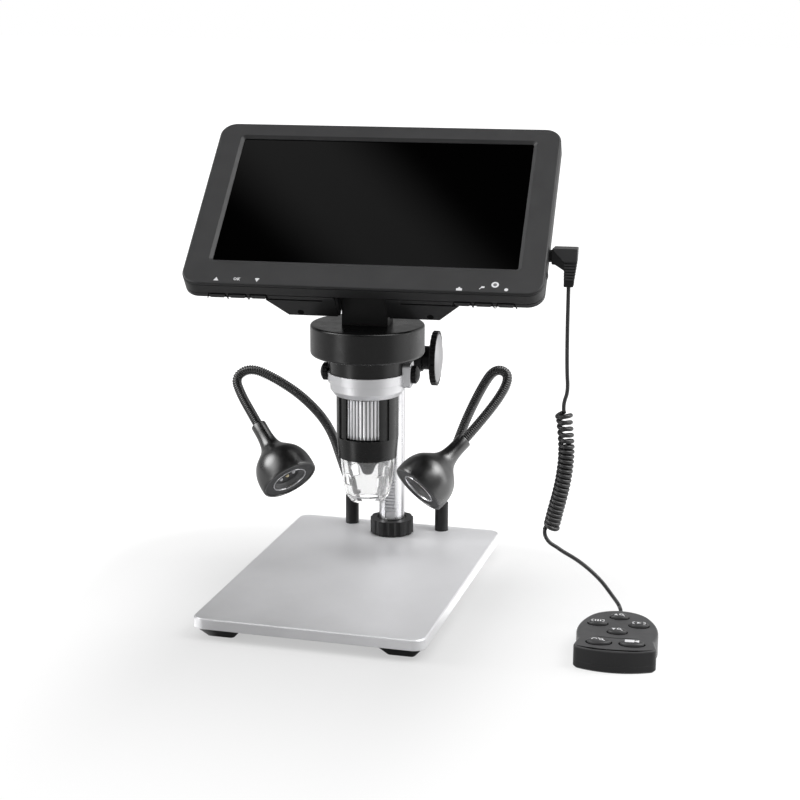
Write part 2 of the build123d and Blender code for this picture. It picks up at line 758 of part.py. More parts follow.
def make_light_hood():
    """Clear light-spreading cup under the barrel, open at the bottom and slotted at both sides."""
    knee = (hood_waist_radius - hood_knee_in, hood_bottom + hood_knee_rise)
    outer = [(hood_spigot_radius, hood_spigot_top), (hood_spigot_radius, barrel_tip), (hood_waist_radius, hood_waist),
             knee, (hood_mouth_radius + hood_wall, hood_bottom), (hood_mouth_radius, hood_bottom)]
    inner = [(hood_mouth_radius, hood_bottom + hood_wall), (knee[0] - hood_wall, knee[1] + hood_wall / 2),
             (hood_waist_radius - hood_wall, hood_waist), (hood_spigot_radius - hood_wall, barrel_tip),
             (hood_spigot_radius - hood_wall, hood_spigot_top)]
    shell = turned(outer + inner)
    arch = hood_slot_top - hood_slot_half
    reach = hood_spigot_radius + 1
    slot = block((0, reach), (-hood_slot_half, hood_slot_half), (hood_slot_low, arch))
    slot += Pos(0, 0, arch) * cross_rod(hood_slot_half, 0, reach)
    for k in range(4):
        shell -= Rot(0, 0, 45 + 90 * k) * slot
    return shell


# ---------------------------------------------------------------- screen, in its own frame
def screen_outline(inset=0.0):
    outline = RectangleRounded(screen_width - 2 * inset, screen_height - 2 * inset, screen_corner - inset)
    return Pos(0, screen_mid) * outline


def slab(outline, low, high):
    return Pos(0, 0, low) * extrude(outline, high - low)


def screw_places():
    return [Pos(side * screw_side, row, 0) for side in (-1, 1) for row in screw_rows]


def jack_place():
    """Jack axis on the outer face of the right-hand wall."""
    return Pos(screen_side, jack_v, jack_d)


def dial_place():
    return Pos(screen_side + dial_proud - dial_radius, dial_v, dial_d)


def make_screen_bezel():
    inner_face = -glass_thick - seat_gap
    body = slab(screen_outline(), screen_seam, screen_front)
    body = fillet(body.faces().sort_by(Axis.Z)[-1].edges(), screen_edge)
    body -= slab(screen_outline(screen_wall), screen_seam - 1, inner_face)
    body -= slab(RectangleRounded(view_width, view_height, view_corner), inner_face - 1, screen_front + 1)
    wide = RectangleRounded(view_width + 2 * view_bevel, view_height + 2 * view_bevel, view_corner + view_bevel)
    narrow = RectangleRounded(view_width, view_height, view_corner)
    body -= loft([Pos(0, 0, view_bevel_start) * narrow, Pos(0, 0, screen_front) * wide])
    groove = slab(screen_outline(-1), *bezel_line) - slab(screen_outline(bezel_line_depth), *bezel_line)
    body -= groove
    pocket = RectangleRounded(view_width + 2 * glass_lip + 2 * seat_gap, view_height + 2 * glass_lip + 2 * seat_gap,
                              view_corner)
    body -= slab(pocket, inner_face - 1, 0)
    for place in screw_places():
        body += place * disc(screw_boss, screen_seam, inner_face)
        body -= place * disc(screw_radius, screen_seam - 1, inner_face - 0.6)
    body -= jack_place() * cross_rod(jack_bore, -screen_wall - 1, 1)
    slot_half = dial_thick / 2 + button_gap
    body -= dial_place() * disc(dial_radius + button_gap, -slot_half, slot_half)
    return body


def hump_body(inset=0.0):
    """Trapezoid swelling on the back that holds the battery and the hinge."""
    half = hump_half - inset
    half_back = hump_half_back - inset
    back = hump_back + inset
    front = screen_back + inset
    rise = hump_high - inset
    low = hump_low + inset
    points = [(-half, front), (-half_back, back), (half_back, back), (half, front)]
    body = prism_y(points, low, rise)
    slope = front - back
    wedge = [(rise - slope, back), (rise - slope, back - 1), (rise + 1, back - 1), (rise + 1, front), (rise, front)]
    return body - prism_x(wedge, -half - 1, half + 1)


def hinge_block(inset=0.0):
    """Solid cheeks and floor round the hinge notch."""
    half = notch_half + cheek_wall - inset
    inside = screen_bottom + screen_wall + seat_gap
    top = notch_high + screen_wall
    floor_top = notch_floor + notch_floor_thick
    points = [(hump_low, hump_back), (hump_low, screen_seam), (inside, screen_seam), (inside, floor_top),
              (top, floor_top), (top, hump_back)]
    return prism_x(points, -half, half)


def make_screen_rear():
    body = slab(screen_outline(), screen_back, screen_seam)
    body = chamfer(body.faces().sort_by(Axis.Z)[0].edges(), back_edge)
    body += hump_body()
    body -= slab(screen_outline(screen_wall), screen_back + screen_wall, screen_seam + 1)
    line = (screen_seam - seam_groove, screen_seam)
    body -= slab(screen_outline(-1), *line) - slab(screen_outline(seam_groove), *line)
    body -= hump_body(screen_wall)
    for u, d in case_holes:
        body -= Pos(u, hump_low, d) * Rot(90, 0, 0) * Cylinder(case_hole_radius, 2 * case_hole_depth)
    for k in range(vent_count):
        low = vent_low + k * vent_pitch
        body -= block((-vent_half, vent_half), (low, low + vent_width), (hump_back - 1, hump_back + vent_depth))
    body += hinge_block()
    body -= block((-notch_half, notch_half), (notch_low, notch_high), (hump_back - 1, notch_floor))
    body -= Pos(0, hinge_v, hinge_d) * cross_rod(hinge_radius + run_gap, -hinge_pin_half() - 0.2, hinge_pin_half() + 0.2)
    for place in screw_places():
        body += place * disc(screw_boss, screen_back + 1, screen_seam)
        body -= place * disc(screw_radius + seat_gap, screen_back - 1, screen_seam + 1)
        body -= place * disc(screw_head + seat_gap, screen_back - 1, screen_back + screw_head_height + 0.4)
    slot_end = screen_bottom + button_inside + button_travel + button_gap
    for start, end in button_spans:
        body -= block((start - button_gap, end + button_gap), (screen_bottom - 1, slot_end),
                      (button_back - button_gap, button_front + button_gap))
    return body - jack_place() * cross_rod(jack_bore, -screen_wall - 1, 1)


def make_screen_glass():
    outline = RectangleRounded(view_width + 2 * glass_lip, view_height + 2 * glass_lip, view_corner)
    return slab(outline, -glass_thick, 0)


def make_lcd_panel():
    front = -glass_thick - 2 * seat_gap
    return slab(RectangleRounded(panel_width, panel_height, view_corner), front - panel_thick, front)


def make_main_board():
    """Circuit board with the lead's jack soldered to its edge."""
    board = block((-board_half, board_half), (board_low, board_high), (board_face - board_thick, board_face))
    keep = hinge_block(-1.0)
    board -= keep
    inner_wall = screen_side - screen_wall - seat_gap
    board += block((board_half - 1, inner_wall - 1), (jack_v - jack_half, jack_v + jack_half),
                   (board_face - board_thick, board_face))
    jack = block((panel_width / 2 + 0.4, inner_wall), (jack_v - jack_half, jack_v + jack_half),
                 (board_face - board_thick - 1, -glass_thick - 1))
    board += jack
    chip = Box(main_chip_side, main_chip_side, main_chip_thick)
    board += Pos(*main_chip_spot, board_face - board_thick - main_chip_thick / 2) * chip
    return board - jack_place() * cross_rod(jack_bore, -screen_wall - plug_pin_length, 1)


def make_battery():
    face = battery_face
    cell = block((-battery_half, battery_half), (battery_low, battery_high), (face - battery_thick, face))
    return fillet(cell.edges().filter_by(Axis.X), 1.5)


def make_shell_screws():
    low = screen_back + 0.4
    screw = disc(screw_head, low, low + screw_head_height)
    screw += disc(screw_radius, low + screw_head_height, -glass_thick - 1.0)
    return group([place * screw for place in screw_places()])


def make_screen_button(span):
    top = screen_bottom + button_inside
    outline = [(span[0], button_front), (span[0] + button_taper, button_back), (span[1] - button_taper, button_back),
               (span[1], button_front)]
    cap = prism_y(outline, screen_bottom - button_proud, top)
    return fillet(cap.edges().filter_by(Axis.Y), 0.5)


def make_side_dial():
    outline = gear_outline(dial_radius, 24, 0.4, 0.18)
    return Pos(0, 0, -dial_thick / 2) * extrude(outline, dial_thick)


# ---------------------------------------------------------------- lead and cord
def plug_place():
    """The plug's frame: X out from the wall, Z up, on the jack's axis."""
    spot = (column_place * screen_place * jack_place()).position
    return Pos(spot.X, spot.Y, spot.Z) * Rot(0, 0, column_yaw)


def make_jack_plug():
    """Right-angle plug with a ribbed strain relief that hangs straight down."""
    start = plug_collar
    leg_left = plug_leg - plug_leg_radius
    points = [(start, plug_top), (plug_reach, plug_top), (plug_reach, plug_shoulder),
              (leg_left, plug_shoulder - 4.0), (start + 3.0, -plug_top), (start, -plug_top)]
    body = prism_y(points, -plug_half, plug_half)
    body = fillet(body.edges().filter_by(Axis.Y), 0.5)
    tail = turned([(0, plug_leg_bottom), (plug_tail_radius, plug_leg_bottom), (plug_leg_radius, plug_shoulder - 1),
                   (0, plug_shoulder - 1)])
    span = plug_shoulder - 3.5 - plug_leg_bottom
    for k in range(plug_grooves):
        low = plug_leg_bottom + 1.6 + k * (span - 2) / plug_grooves
        tail -= disc(plug_leg_radius + 1, low, low + 0.7) - disc(plug_tail_radius - 0.5, low - 1, low + 2)
    body += Pos(plug_leg, 0, 0) * tail
    return body + cross_rod(plug_collar_radius, 0, start + 1) + cross_rod(plug_pin_radius, -plug_pin_length, 0.5)


def bend_path(points, first_reach):
    """Straight runs with tangent arcs, each arc as large as its two runs allow."""
    radii = []
    limit = first_reach
    for before, corner, after in zip(points, points[1:], points[2:]):
        back = Vector(*before) - Vector(*corner)
        ahead = Vector(*after) - Vector(*corner)
        turn = math.radians(180 - back.get_angle(ahead))
        radii.append(min(limit, 0.45 * min(back.length, ahead.length)) / math.tan(turn / 2))
        limit = math.inf
    return FilletPolyline(*points, radius=radii), radii


def tube(points, radius, first_reach=math.inf):
    """Round tube along a bent path, with its ends square to the first and last runs.

    first_reach limits how far before the first corner the first arc may start.
    """
    path, radii = bend_path(points, first_reach)
    start = Plane(origin=path @ 0, z_dir=path % 0)
    body = sweep(start * Circle(radius), path=path)
    share = body.volume / (math.pi * radius ** 2 * path.length)
    print("radii", [round(r, 1) for r in radii], "volume over section times length", round(share, 4))
    return body


cord_upper_a_points = [(106.93, 12.62, 155.65), (106.93, 12.62, 147.5), (107.2, 10.9, 134.0), (107.5, 10.0, 124.0)]
cord_upper_b_points = [(107.5, 10.0, 124.0), (107.83, 9.12, 113.0), (108.8, 8.4, 103.5), (106.9, 8.28, 96.1),
                       (107.6, 8.0, 89.5)]
coil_points = [(107.6, 8.0, 89.5), (108.6, 7.6, 80.0), (109.2, 6.6, 70.0), (108.6, 5.0, 60.0), (107.2, 2.2, 50.5),
               (105.4, -1.2, 42.0), (104.2, -4.6, 34.5)]
cord_lower_points = [(104.2, -4.6, 34.5), (103.3, -7.15, 28.9), (109.4, -8.0, 24.4), (117.6, -9.4, 21.0),
                     (125.0, -12.0, 17.2), (132.0, -12.5, 11.2), (136.9, -11.9, 4.6), (142.0, -7.16, -4.6),
                     (143.12, -20.01, -4.6)]


def remote_place():
    return Pos(remote_x, remote_y, floor_height) * Rot(0, 0, remote_yaw)


def remote_half_at(y):
    """Half-width of the remote's arched side at a place along it."""
    return math.sqrt(remote_side_round ** 2 - (y + remote_mid) ** 2) - remote_side_centre


def remote_outline(inset=0.0):
    """Shield-shaped outline with a flared front, symmetrical about its long axis; the rear is at +Y."""
    share = remote_side_round / (remote_side_round - remote_rear_round)
    joint = (share * remote_side_centre - remote_side_centre, share * (remote_rear_centre + remote_mid) - remote_mid)
    waist = (remote_half_at(-remote_waist), -remote_waist)
    corner = (remote_flare_half, -remote_flare)
    curves = [ThreePointArc(joint, (0, remote_rear), (-joint[0], joint[1])),
              ThreePointArc(corner, (0, -remote_front), (-corner[0], corner[1]))]
    for side in (-1, 1):
        points = [(side * x, y) for x, y in (joint, (remote_half_width, -remote_mid), waist, corner)]
        curves += [ThreePointArc(points[0], points[1], points[2]), Line(points[2], points[3])]
    face = make_face(curves)
    face = fillet(face.vertices().filter_by(lambda v: abs(v.Y + remote_waist) < 0.1), remote_waist_blend)
    face = fillet(face.vertices().filter_by(lambda v: abs(v.Y + remote_flare) < 0.1), remote_corner_round)
    return offset(face, -inset) if inset else face


def remote_button_outline(size, grow=0.0):
    return Ellipse(size[0] / 2 + grow, size[1] / 2 + grow)


def make_remote_bottom():
    shell = slab(remote_outline(), 0, remote_seam)
    shell = chamfer(shell.faces().sort_by(Axis.Z)[0].edges(), 1.0)
    return shell - slab(remote_outline(remote_wall), remote_wall, remote_seam + 1)


def make_remote_top():
    shell = slab(remote_outline(), remote_seam, remote_height)
    shell = fillet(shell.faces().sort_by(Axis.Z)[-1].edges(), remote_edge)
    shell -= slab(remote_outline(remote_wall), remote_seam - 1, remote_height - remote_wall)
    for (x, along), size in zip(remote_button_places, remote_button_sizes):
        hole = remote_button_outline(size, button_gap)
        shell -= Pos(x, -along, remote_height - remote_wall - 1) * extrude(hole, remote_wall + 2)
    nose_end = remote_rear + grommet_length
    nose = Rot(90, 0, 0) * Cylinder(grommet_radius, grommet_length + 1)
    shell += Pos(0, nose_end - (grommet_length + 1) / 2, remote_height - grommet_drop) * nose
    return shell


def make_remote_button(place, size):
    """Oval cap with a wider flange under the shell."""
    low = remote_height - remote_button_sunk
    high = remote_height + remote_button_proud
    cap = slab(remote_button_outline(size), low, high)
    cap = fillet(cap.faces().sort_by(Axis.Z)[-1].edges(), 0.5)
    cap += slab(remote_button_outline(size, 0.6), low - 0.6, low)
    return Pos(place[0], -place[1], 0) * cap


# ---------------------------------------------------------------- lamps
def lamp_frame(face, aim):
    """Lamp's own frame: Z runs from the bell's face back to its tail."""
    back = Vector(-aim[0], -aim[1], -aim[2])
    return Plane(origin=face, z_dir=back)


def lamp_tail_end(face, aim, extra=0.0):
    reach = lamp_length + extra
    return tuple(f - reach * a for f, a in zip(face, aim))


def make_lamp_head():
    """Turned bell with a tail sleeve that grips the flexible neck."""
    bore = neck_radius + run_gap
    seat = lamp_face_recess + lamp_face_thick
    skin = Spline(*lamp_bell, (lamp_tail_radius, lamp_tail_start))
    rest = Polyline((lamp_tail_radius, lamp_tail_start), (lamp_tail_radius, lamp_length), (bore, lamp_length),
                    (bore, lamp_length - neck_grip - 1), (0, lamp_length - neck_grip - 1), (0, seat),
                    (lamp_face_radius + seat_gap, seat), (lamp_face_radius + seat_gap, 0), lamp_bell[0])
    shell = revolve(Plane.XZ * make_face([skin, rest]), Axis.Z)
    return shell - turned([(0, seat + 1.5), (8.0, seat + 1.5), (6.0, 15), (0, 15)])


def make_lamp_lens():
    """Dark face plate with a bright raised ring round three lights."""
    low = lamp_face_recess
    plate = disc(lamp_face_radius, low, low + lamp_face_thick)
    ring_low = low - lamp_ring_proud
    plate += disc(lamp_ring_radius, ring_low, low) - disc(lamp_ring_radius - lamp_ring_width, ring_low - 1, low)
    for k in range(3):
        led = Pos(lamp_led_circle, 0, 0) * disc(lamp_led_radius, low - 0.5, low)
        plate += Rot(0, 0, 90 + 120 * k) * led
    return plate


left_neck_bends = [(-4.7, -2.1, 34.0), (-10.9, -6.9, 58.0), (-23.2, -16.0, 76.0), (-37.7, -22.7, 87.5),
                   (-50.7, -26.3, 93.5), (-59.2, -29.0, 88.0), (-54.0, -33.3, 79.2)]
right_neck_bends = [(3.3, 0.7, 36.0), (11.2, 3.3, 61.0), (21.2, 2.7, 83.0), (29.7, -1.3, 96.0),
                    (38.9, -4.9, 94.0), (35.9, -10.5, 83.5)]


def make_lamp_neck(face, aim, bends):
    """Flexible neck, from its own post's axis."""
    knee = lamp_sleeve_height + neck_first_reach
    foot = [(0, 0, 1.5), (0, 0, knee)]
    grip_end = lamp_tail_end(face, aim, -neck_grip)
    before_tail = lamp_tail_end(face, aim, 7.0)
    return tube(foot + bends + [before_tail, grip_end], neck_radius, neck_first_reach)


# ---------------------------------------------------------------- build
def build_stage():
    save("base_plate", make_base_plate())
    save("rubber_feet", make_rubber_feet())
    save("foot_screws", make_foot_screws())
    save("column_socket", make_column_socket(), Pos(0, column_back, 0))
    save("lock_ring", make_lock_ring(), Pos(0, column_back, 0))
    save("lamp_sockets", make_lamp_sockets())


def build_column():
    save("column_rod", make_column_rod(), column_place)
    save("focus_rack", make_focus_rack(), column_place)
    save("carriage_housing", make_carriage_housing(), column_place)
    save("carriage_bushes", make_carriage_bushes(), column_place)
    save("pinion_shaft", pinion_place() * make_pinion_shaft(), column_place)
    save("focus_knobs", make_focus_knobs(), column_place)
    save("knob_faces", make_knob_faces(), column_place)
    save("holder_ring", make_holder_ring(), column_place * lens_place)
    save("arm_screws", make_arm_screws(), column_place * lens_place)
    for turn, name, seat in ((0, "thumbscrew_right", lug_reach), (180, "thumbscrew_left", holder_radius)):
        place = column_place * lens_place * Pos(0, 0, thumb_height) * Rot(0, 0, turn)
        save(name, make_thumbscrew(seat + thumb_head_gap), place)


def build_head():
    place = column_place * lens_place
    save("head_housing", make_head_housing(), place)
    save("sensor_board", make_sensor_board(), place)
    save("screen_bracket", make_screen_bracket(), place)
    save("hinge_pin", make_hinge_pin(), place)
    save("barrel_shell", make_barrel_shell(), place)
    save("focus_wheel", make_focus_wheel(), place)
    save("lens_cell", make_lens_cell(), place)
    save("front_lens", make_front_lens(), place)
    save("led_board", make_led_board(), place)
    save("light_hood", make_light_hood(), place)


def build_screen():
    place = column_place * screen_place
    save("screen_bezel", make_screen_bezel(), place)
    save("screen_rear", make_screen_rear(), place)
    save("screen_glass", make_screen_glass(), place)
    save("lcd_panel", make_lcd_panel(), place)
    save("main_board", make_main_board(), place)
    save("battery", make_battery(), place)
    save("shell_screws", make_shell_screws(), place)
    save("side_dial", make_side_dial(), place * dial_place())
    for name, span in zip(button_names, button_spans):
        save(name, make_screen_button(span), place)


def build_cord():
    save("jack_plug", make_jack_plug(), plug_place())
    save("cord_upper_a", tube(cord_upper_a_points, cord_radius))
    save("cord_upper_b", tube(cord_upper_b_points, cord_radius))
    save("cord_coil", tube(coil_points, coil_radius))
    save("cord_lower", tube(cord_lower_points, cord_radius))


def build_remote():
    save("remote_bottom", make_remote_bottom(), remote_place())
    save("remote_top", make_remote_top(), remote_place())
    for name, place, size in zip(remote_button_names, remote_button_places, remote_button_sizes):
        save(name, make_remote_button(place, size), remote_place())


def build_lamps():
    for side, name, face, aim, bends in ((-1, "lamp_left", left_face, left_aim, left_neck_bends),
                                         (1, "lamp_right", right_face, right_aim, right_neck_bends)):
        post = Pos(side * lamp_spread, lamp_back, 0)
        frame = lamp_frame(face, aim)
        save(name + "_head", frame * make_lamp_head(), post)
        save(name + "_lens", frame * make_lamp_lens(), post)
        save(name + "_neck", make_lamp_neck(face, aim, bends), post)


build_stage()
build_column()
build_head()
build_screen()
build_cord()
build_remote()
build_lamps()
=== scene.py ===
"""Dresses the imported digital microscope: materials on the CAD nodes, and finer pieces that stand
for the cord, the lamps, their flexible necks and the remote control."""
import bmesh
import bpy
import math
import numpy as np
from mathutils import Matrix, Vector


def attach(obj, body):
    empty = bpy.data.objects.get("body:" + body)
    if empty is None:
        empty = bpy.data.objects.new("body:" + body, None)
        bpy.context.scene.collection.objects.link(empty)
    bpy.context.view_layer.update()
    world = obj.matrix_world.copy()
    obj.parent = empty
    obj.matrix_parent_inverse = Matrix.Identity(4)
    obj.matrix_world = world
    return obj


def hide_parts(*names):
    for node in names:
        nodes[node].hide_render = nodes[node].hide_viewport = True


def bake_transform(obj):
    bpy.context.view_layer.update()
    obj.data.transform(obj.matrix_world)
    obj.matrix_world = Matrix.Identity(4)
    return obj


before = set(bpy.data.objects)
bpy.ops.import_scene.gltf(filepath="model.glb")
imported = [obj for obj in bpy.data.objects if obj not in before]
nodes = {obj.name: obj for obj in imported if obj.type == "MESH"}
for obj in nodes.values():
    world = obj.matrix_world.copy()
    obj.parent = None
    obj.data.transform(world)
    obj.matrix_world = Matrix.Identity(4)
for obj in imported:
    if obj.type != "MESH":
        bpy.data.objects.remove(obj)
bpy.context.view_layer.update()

# ------------------------------------------------------------------ places, in metres; local frames in mm
MM = 0.001
YAW = math.radians(5.25)
LEAN = math.radians(38.58)
FLOOR = -0.011


def shift(x, y, z):
    return Matrix.Translation((x, y, z))


arm_place = shift(0, 0.0703, 0) @ Matrix.Rotation(YAW, 4, "Z") @ Matrix.Scale(MM, 4)
lens_place = arm_place @ shift(0, -72, 0)
screen_place = lens_place @ shift(0, 0, 156.6) @ Matrix.Rotation(LEAN, 4, "X") @ shift(0, 40.5, 14)
remote_place = shift(0.1457, -0.0495, FLOOR) @ Matrix.Rotation(math.radians(5), 4, "Z") @ Matrix.Scale(MM, 4)


def lamp_place(face, aim):
    """A lamp's frame: Z runs from the bell's face back to its tail."""
    back = -Vector(aim).normalized()
    turn = back.to_track_quat("Z", "Y").to_matrix().to_4x4()
    return shift(*(c * MM for c in face)) @ turn @ Matrix.Scale(MM, 4)


# ------------------------------------------------------------------ mesh helpers
ON_AXIS = 1e-6


def make_object(name, verts, faces, place, smooth=True):
    size = place.to_scale()[0]
    mesh = bpy.data.meshes.new(name)
    mesh.from_pydata([Vector(v) * size for v in verts], [], faces)
    mesh.validate()
    mesh.update()
    if smooth:
        mesh.polygons.foreach_set("use_smooth", [True] * len(mesh.polygons))
    obj = bpy.data.objects.new(name, mesh)
    obj.matrix_world = place @ Matrix.Scale(1 / size, 4)
    bpy.context.scene.collection.objects.link(obj)
    return obj


def spline(points, steps=6):
    """Catmull-Rom line through 2-D or 3-D points; a point given twice stays sharp."""
    pts = [np.array(p, float) for p in points]
    pts = [2 * pts[0] - pts[1]] + pts + [2 * pts[-1] - pts[-2]]
    out = []
    for i in range(1, len(pts) - 2):
        p0, p1, p2, p3 = pts[i - 1:i + 3]
        if np.allclose(p1, p2):
            continue
        if np.allclose(p0, p1):
            p0 = 2 * p1 - p2
        if np.allclose(p2, p3):
            p3 = 2 * p2 - p1
        for k in range(steps):
            t = k / steps
            out.append(0.5 * (2 * p1 + (p2 - p0) * t + (2 * p0 - 5 * p1 + 4 * p2 - p3) * t ** 2
                              + (3 * p1 - p0 - 3 * p2 + p3) * t ** 3))
    out.append(pts[-2])
    return [tuple(float(c) for c in p) for p in out]


def lathe(name, profile, place, segments=96, closed=False):
    """Turned piece from (radius, height) points; the ends are closed on the axis unless it is a ring."""
    verts, faces = [], []
    count = len(profile)
    for k in range(segments):
        a = 2 * math.pi * k / segments
        verts += [(r * math.cos(a), r * math.sin(a), z) for r, z in profile]
    rows = count if closed else count - 1
    for k in range(segments):
        n = (k + 1) % segments
        for i in range(rows):
            j = (i + 1) % count
            faces.append((k * count + i, n * count + i, n * count + j, k * count + j))
    if not closed:
        for end, flipped in ((0, True), (count - 1, False)):
            ring = [k * count + end for k in range(segments)]
            if profile[end][0] > ON_AXIS:
                faces.append(tuple(reversed(ring) if flipped else ring))
    obj = make_object(name, verts, faces, place)
    clean(obj)
    return obj


def clean(obj, distance=1e-6):
    """Welds doubled points and turns all faces outward."""
    bm = bmesh.new()
    bm.from_mesh(obj.data)
    bmesh.ops.remove_doubles(bm, verts=bm.verts, dist=distance)
    bmesh.ops.dissolve_degenerate(bm, edges=bm.edges, dist=distance)
    bmesh.ops.recalc_face_normals(bm, faces=bm.faces)
    bm.to_mesh(obj.data)
    bm.free()


def sharpen(obj, degrees=35):
    """Smooth shading that stays crisp over edges sharper than the angle."""
    obj.data.shade_smooth()
    obj.data.set_sharp_from_angle(angle=math.radians(degrees))
    return obj


def route_line(points, resolution=40):
    """Points read along the route's own NURBS spline, in mm in and metres out."""
    curve = bpy.data.curves.new("route", "CURVE")
    curve.dimensions = "3D"
    line = curve.splines.new("NURBS")
    line.points.add(len(points) - 1)
    for point, place in zip(line.points, points):
        point.co = (*(c * MM for c in place), 1)
    line.order_u = 3
    line.use_endpoint_u = True
    curve.resolution_u = resolution
    holder = bpy.data.objects.new("route", curve)
    mesh = bpy.data.meshes.new_from_object(holder)
    line_points = np.array([v.co for v in mesh.vertices], float)
    bpy.data.objects.remove(holder)
    bpy.data.curves.remove(curve)
    bpy.data.meshes.remove(mesh)
    return line_points


def evenly(line, count):
    """The same line in equal steps."""
    gaps = np.linalg.norm(np.diff(line, axis=0), axis=1)
    along = np.concatenate([[0], np.cumsum(gaps)])
    at = np.linspace(0, along[-1], count)
    return np.stack([np.interp(at, along, line[:, i]) for i in range(3)], 1), along[-1]


def frames_along(line, up=(0.0, -1.0, 0.0)):
    """Tangent and two cross directions at each point, carried along without twist."""
    tangents = np.gradient(line, axis=0)
    tangents /= np.linalg.norm(tangents, axis=1)[:, None]
    side = np.array(up) - tangents[0] * np.dot(up, tangents[0])
    side /= np.linalg.norm(side)
    sides = []
    for t in tangents:
        side = side - t * np.dot(side, t)
        side /= np.linalg.norm(side)
        sides.append(side)
    sides = np.array(sides)
    return tangents, sides, np.cross(tangents, sides)


def sweep(name, line, radii, segments=14):
    """Tube along the line, one radius for each point, closed at both ends."""
    _, sides, others = frames_along(line)
    verts, faces = [], []
    for point, radius, s, o in zip(line, radii, sides, others):
        for k in range(segments):
            a = 2 * math.pi * k / segments
            verts.append(point + radius * (math.cos(a) * s + math.sin(a) * o))
    for i in range(len(line) - 1):
        for k in range(segments):
            n = (k + 1) % segments
            low, high = i * segments, (i + 1) * segments
            faces.append((low + k, low + n, high + n, high + k))
    faces.append(tuple(reversed(range(segments))))
    faces.append(tuple((len(line) - 1) * segments + k for k in range(segments)))
    return make_object(name, verts, faces, Matrix.Identity(4))


def smoothstep(t):
    t = min(1.0, max(0.0, t))
    return t * t * (3 - 2 * t)


# ------------------------------------------------------------------ materials
class Look:
    """One Principled material with small procedural detail."""

    def __init__(self, name, color, rough, metallic=0.0, **sockets):
        self.material = bpy.data.materials.new(name)
        self.material.use_nodes = True
        self.tree = self.material.node_tree
        self.shader = self.tree.nodes["Principled BSDF"]
        self.shader.inputs["Base Color"].default_value = (*color, 1)
        self.shader.inputs["Roughness"].default_value = rough
        self.shader.inputs["Metallic"].default_value = metallic
        for key, value in sockets.items():
            self.shader.inputs[key.replace("_", " ")].default_value = value
        self.normal = None

    def node(self, kind, **values):
        made = self.tree.nodes.new(kind)
        for key, value in values.items():
            if key in made.inputs:
                made.inputs[key].default_value = value
            else:
                setattr(made, key, value)
        return made

    def link(self, a, b):
        self.tree.links.new(a, b)

    def place(self, scale=(1, 1, 1)):
        coord = self.node("ShaderNodeTexCoord")
        mapping = self.node("ShaderNodeMapping")
        mapping.inputs["Scale"].default_value = scale
        self.link(coord.outputs["Object"], mapping.inputs["Vector"])
        return mapping.outputs["Vector"]

    def noise(self, scale, detail=3.0, stretch=(1, 1, 1), roughness=0.5):
        tex = self.node("ShaderNodeTexNoise", Scale=scale, Detail=detail, Roughness=roughness)
        self.link(self.place(stretch), tex.inputs["Vector"])
        return tex.outputs["Fac"]

    def vary_rough(self, source, low, high):
        ramp = self.node("ShaderNodeMapRange")
        ramp.inputs["From Min"].default_value, ramp.inputs["From Max"].default_value = 0.3, 0.7
        ramp.inputs["To Min"].default_value, ramp.inputs["To Max"].default_value = low, high
        self.link(source, ramp.inputs["Value"])
        self.link(ramp.outputs["Result"], self.shader.inputs["Roughness"])
        return self

    def vary_color(self, source, low, high):
        ramp = self.node("ShaderNodeValToRGB")
        ramp.color_ramp.elements[0].position, ramp.color_ramp.elements[1].position = 0.3, 0.7
        ramp.color_ramp.elements[0].color = (*low, 1)
        ramp.color_ramp.elements[1].color = (*high, 1)
        self.link(source, ramp.inputs["Fac"])
        self.link(ramp.outputs["Color"], self.shader.inputs["Base Color"])
        return self

    def bump(self, source, strength, distance):
        bump = self.node("ShaderNodeBump", Strength=strength, Distance=distance)
        self.link(source, bump.inputs["Height"])
        if self.normal is not None:
            self.link(self.normal, bump.inputs["Normal"])
        self.normal = bump.outputs["Normal"]
        self.link(self.normal, self.shader.inputs["Normal"])
        return self

    def edge(self, radius):
        """Soft highlights along edges."""
        bevel = self.node("ShaderNodeBevel", samples=6)
        bevel.inputs["Radius"].default_value = radius
        self.normal = bevel.outputs["Normal"]
        self.link(self.normal, self.shader.inputs["Normal"])
        return self


def grey(v):
    return (v, v, v * 1.02)


def plastic(name, value, rough, grain=9000.0, bumpy=0.12, edge=0.0003, **sockets):
    look = Look(name, grey(value), rough, **sockets)
    if edge:
        look.edge(edge)
    look.vary_color(look.noise(60, 4), grey(value * 0.92), grey(value * 1.08))
    look.bump(look.noise(grain, 2), bumpy, 0.00006)
    look.vary_rough(look.noise(220, 3), rough - 0.04, rough + 0.05)
    return look.material


def metal(name, value, rough, grain, stretch, strength, edge=0.0002, metallic=1.0, **sockets):
    look = Look(name, grey(value), rough, metallic, **sockets)
    if edge:
        look.edge(edge)
    look.bump(look.noise(grain, 3, stretch), strength, 0.00004)
    look.vary_rough(look.noise(90, 4), rough - 0.05, rough + 0.06)
    look.vary_color(look.noise(35, 3), grey(value * 0.96), grey(min(1, value * 1.03)))
    return look.material


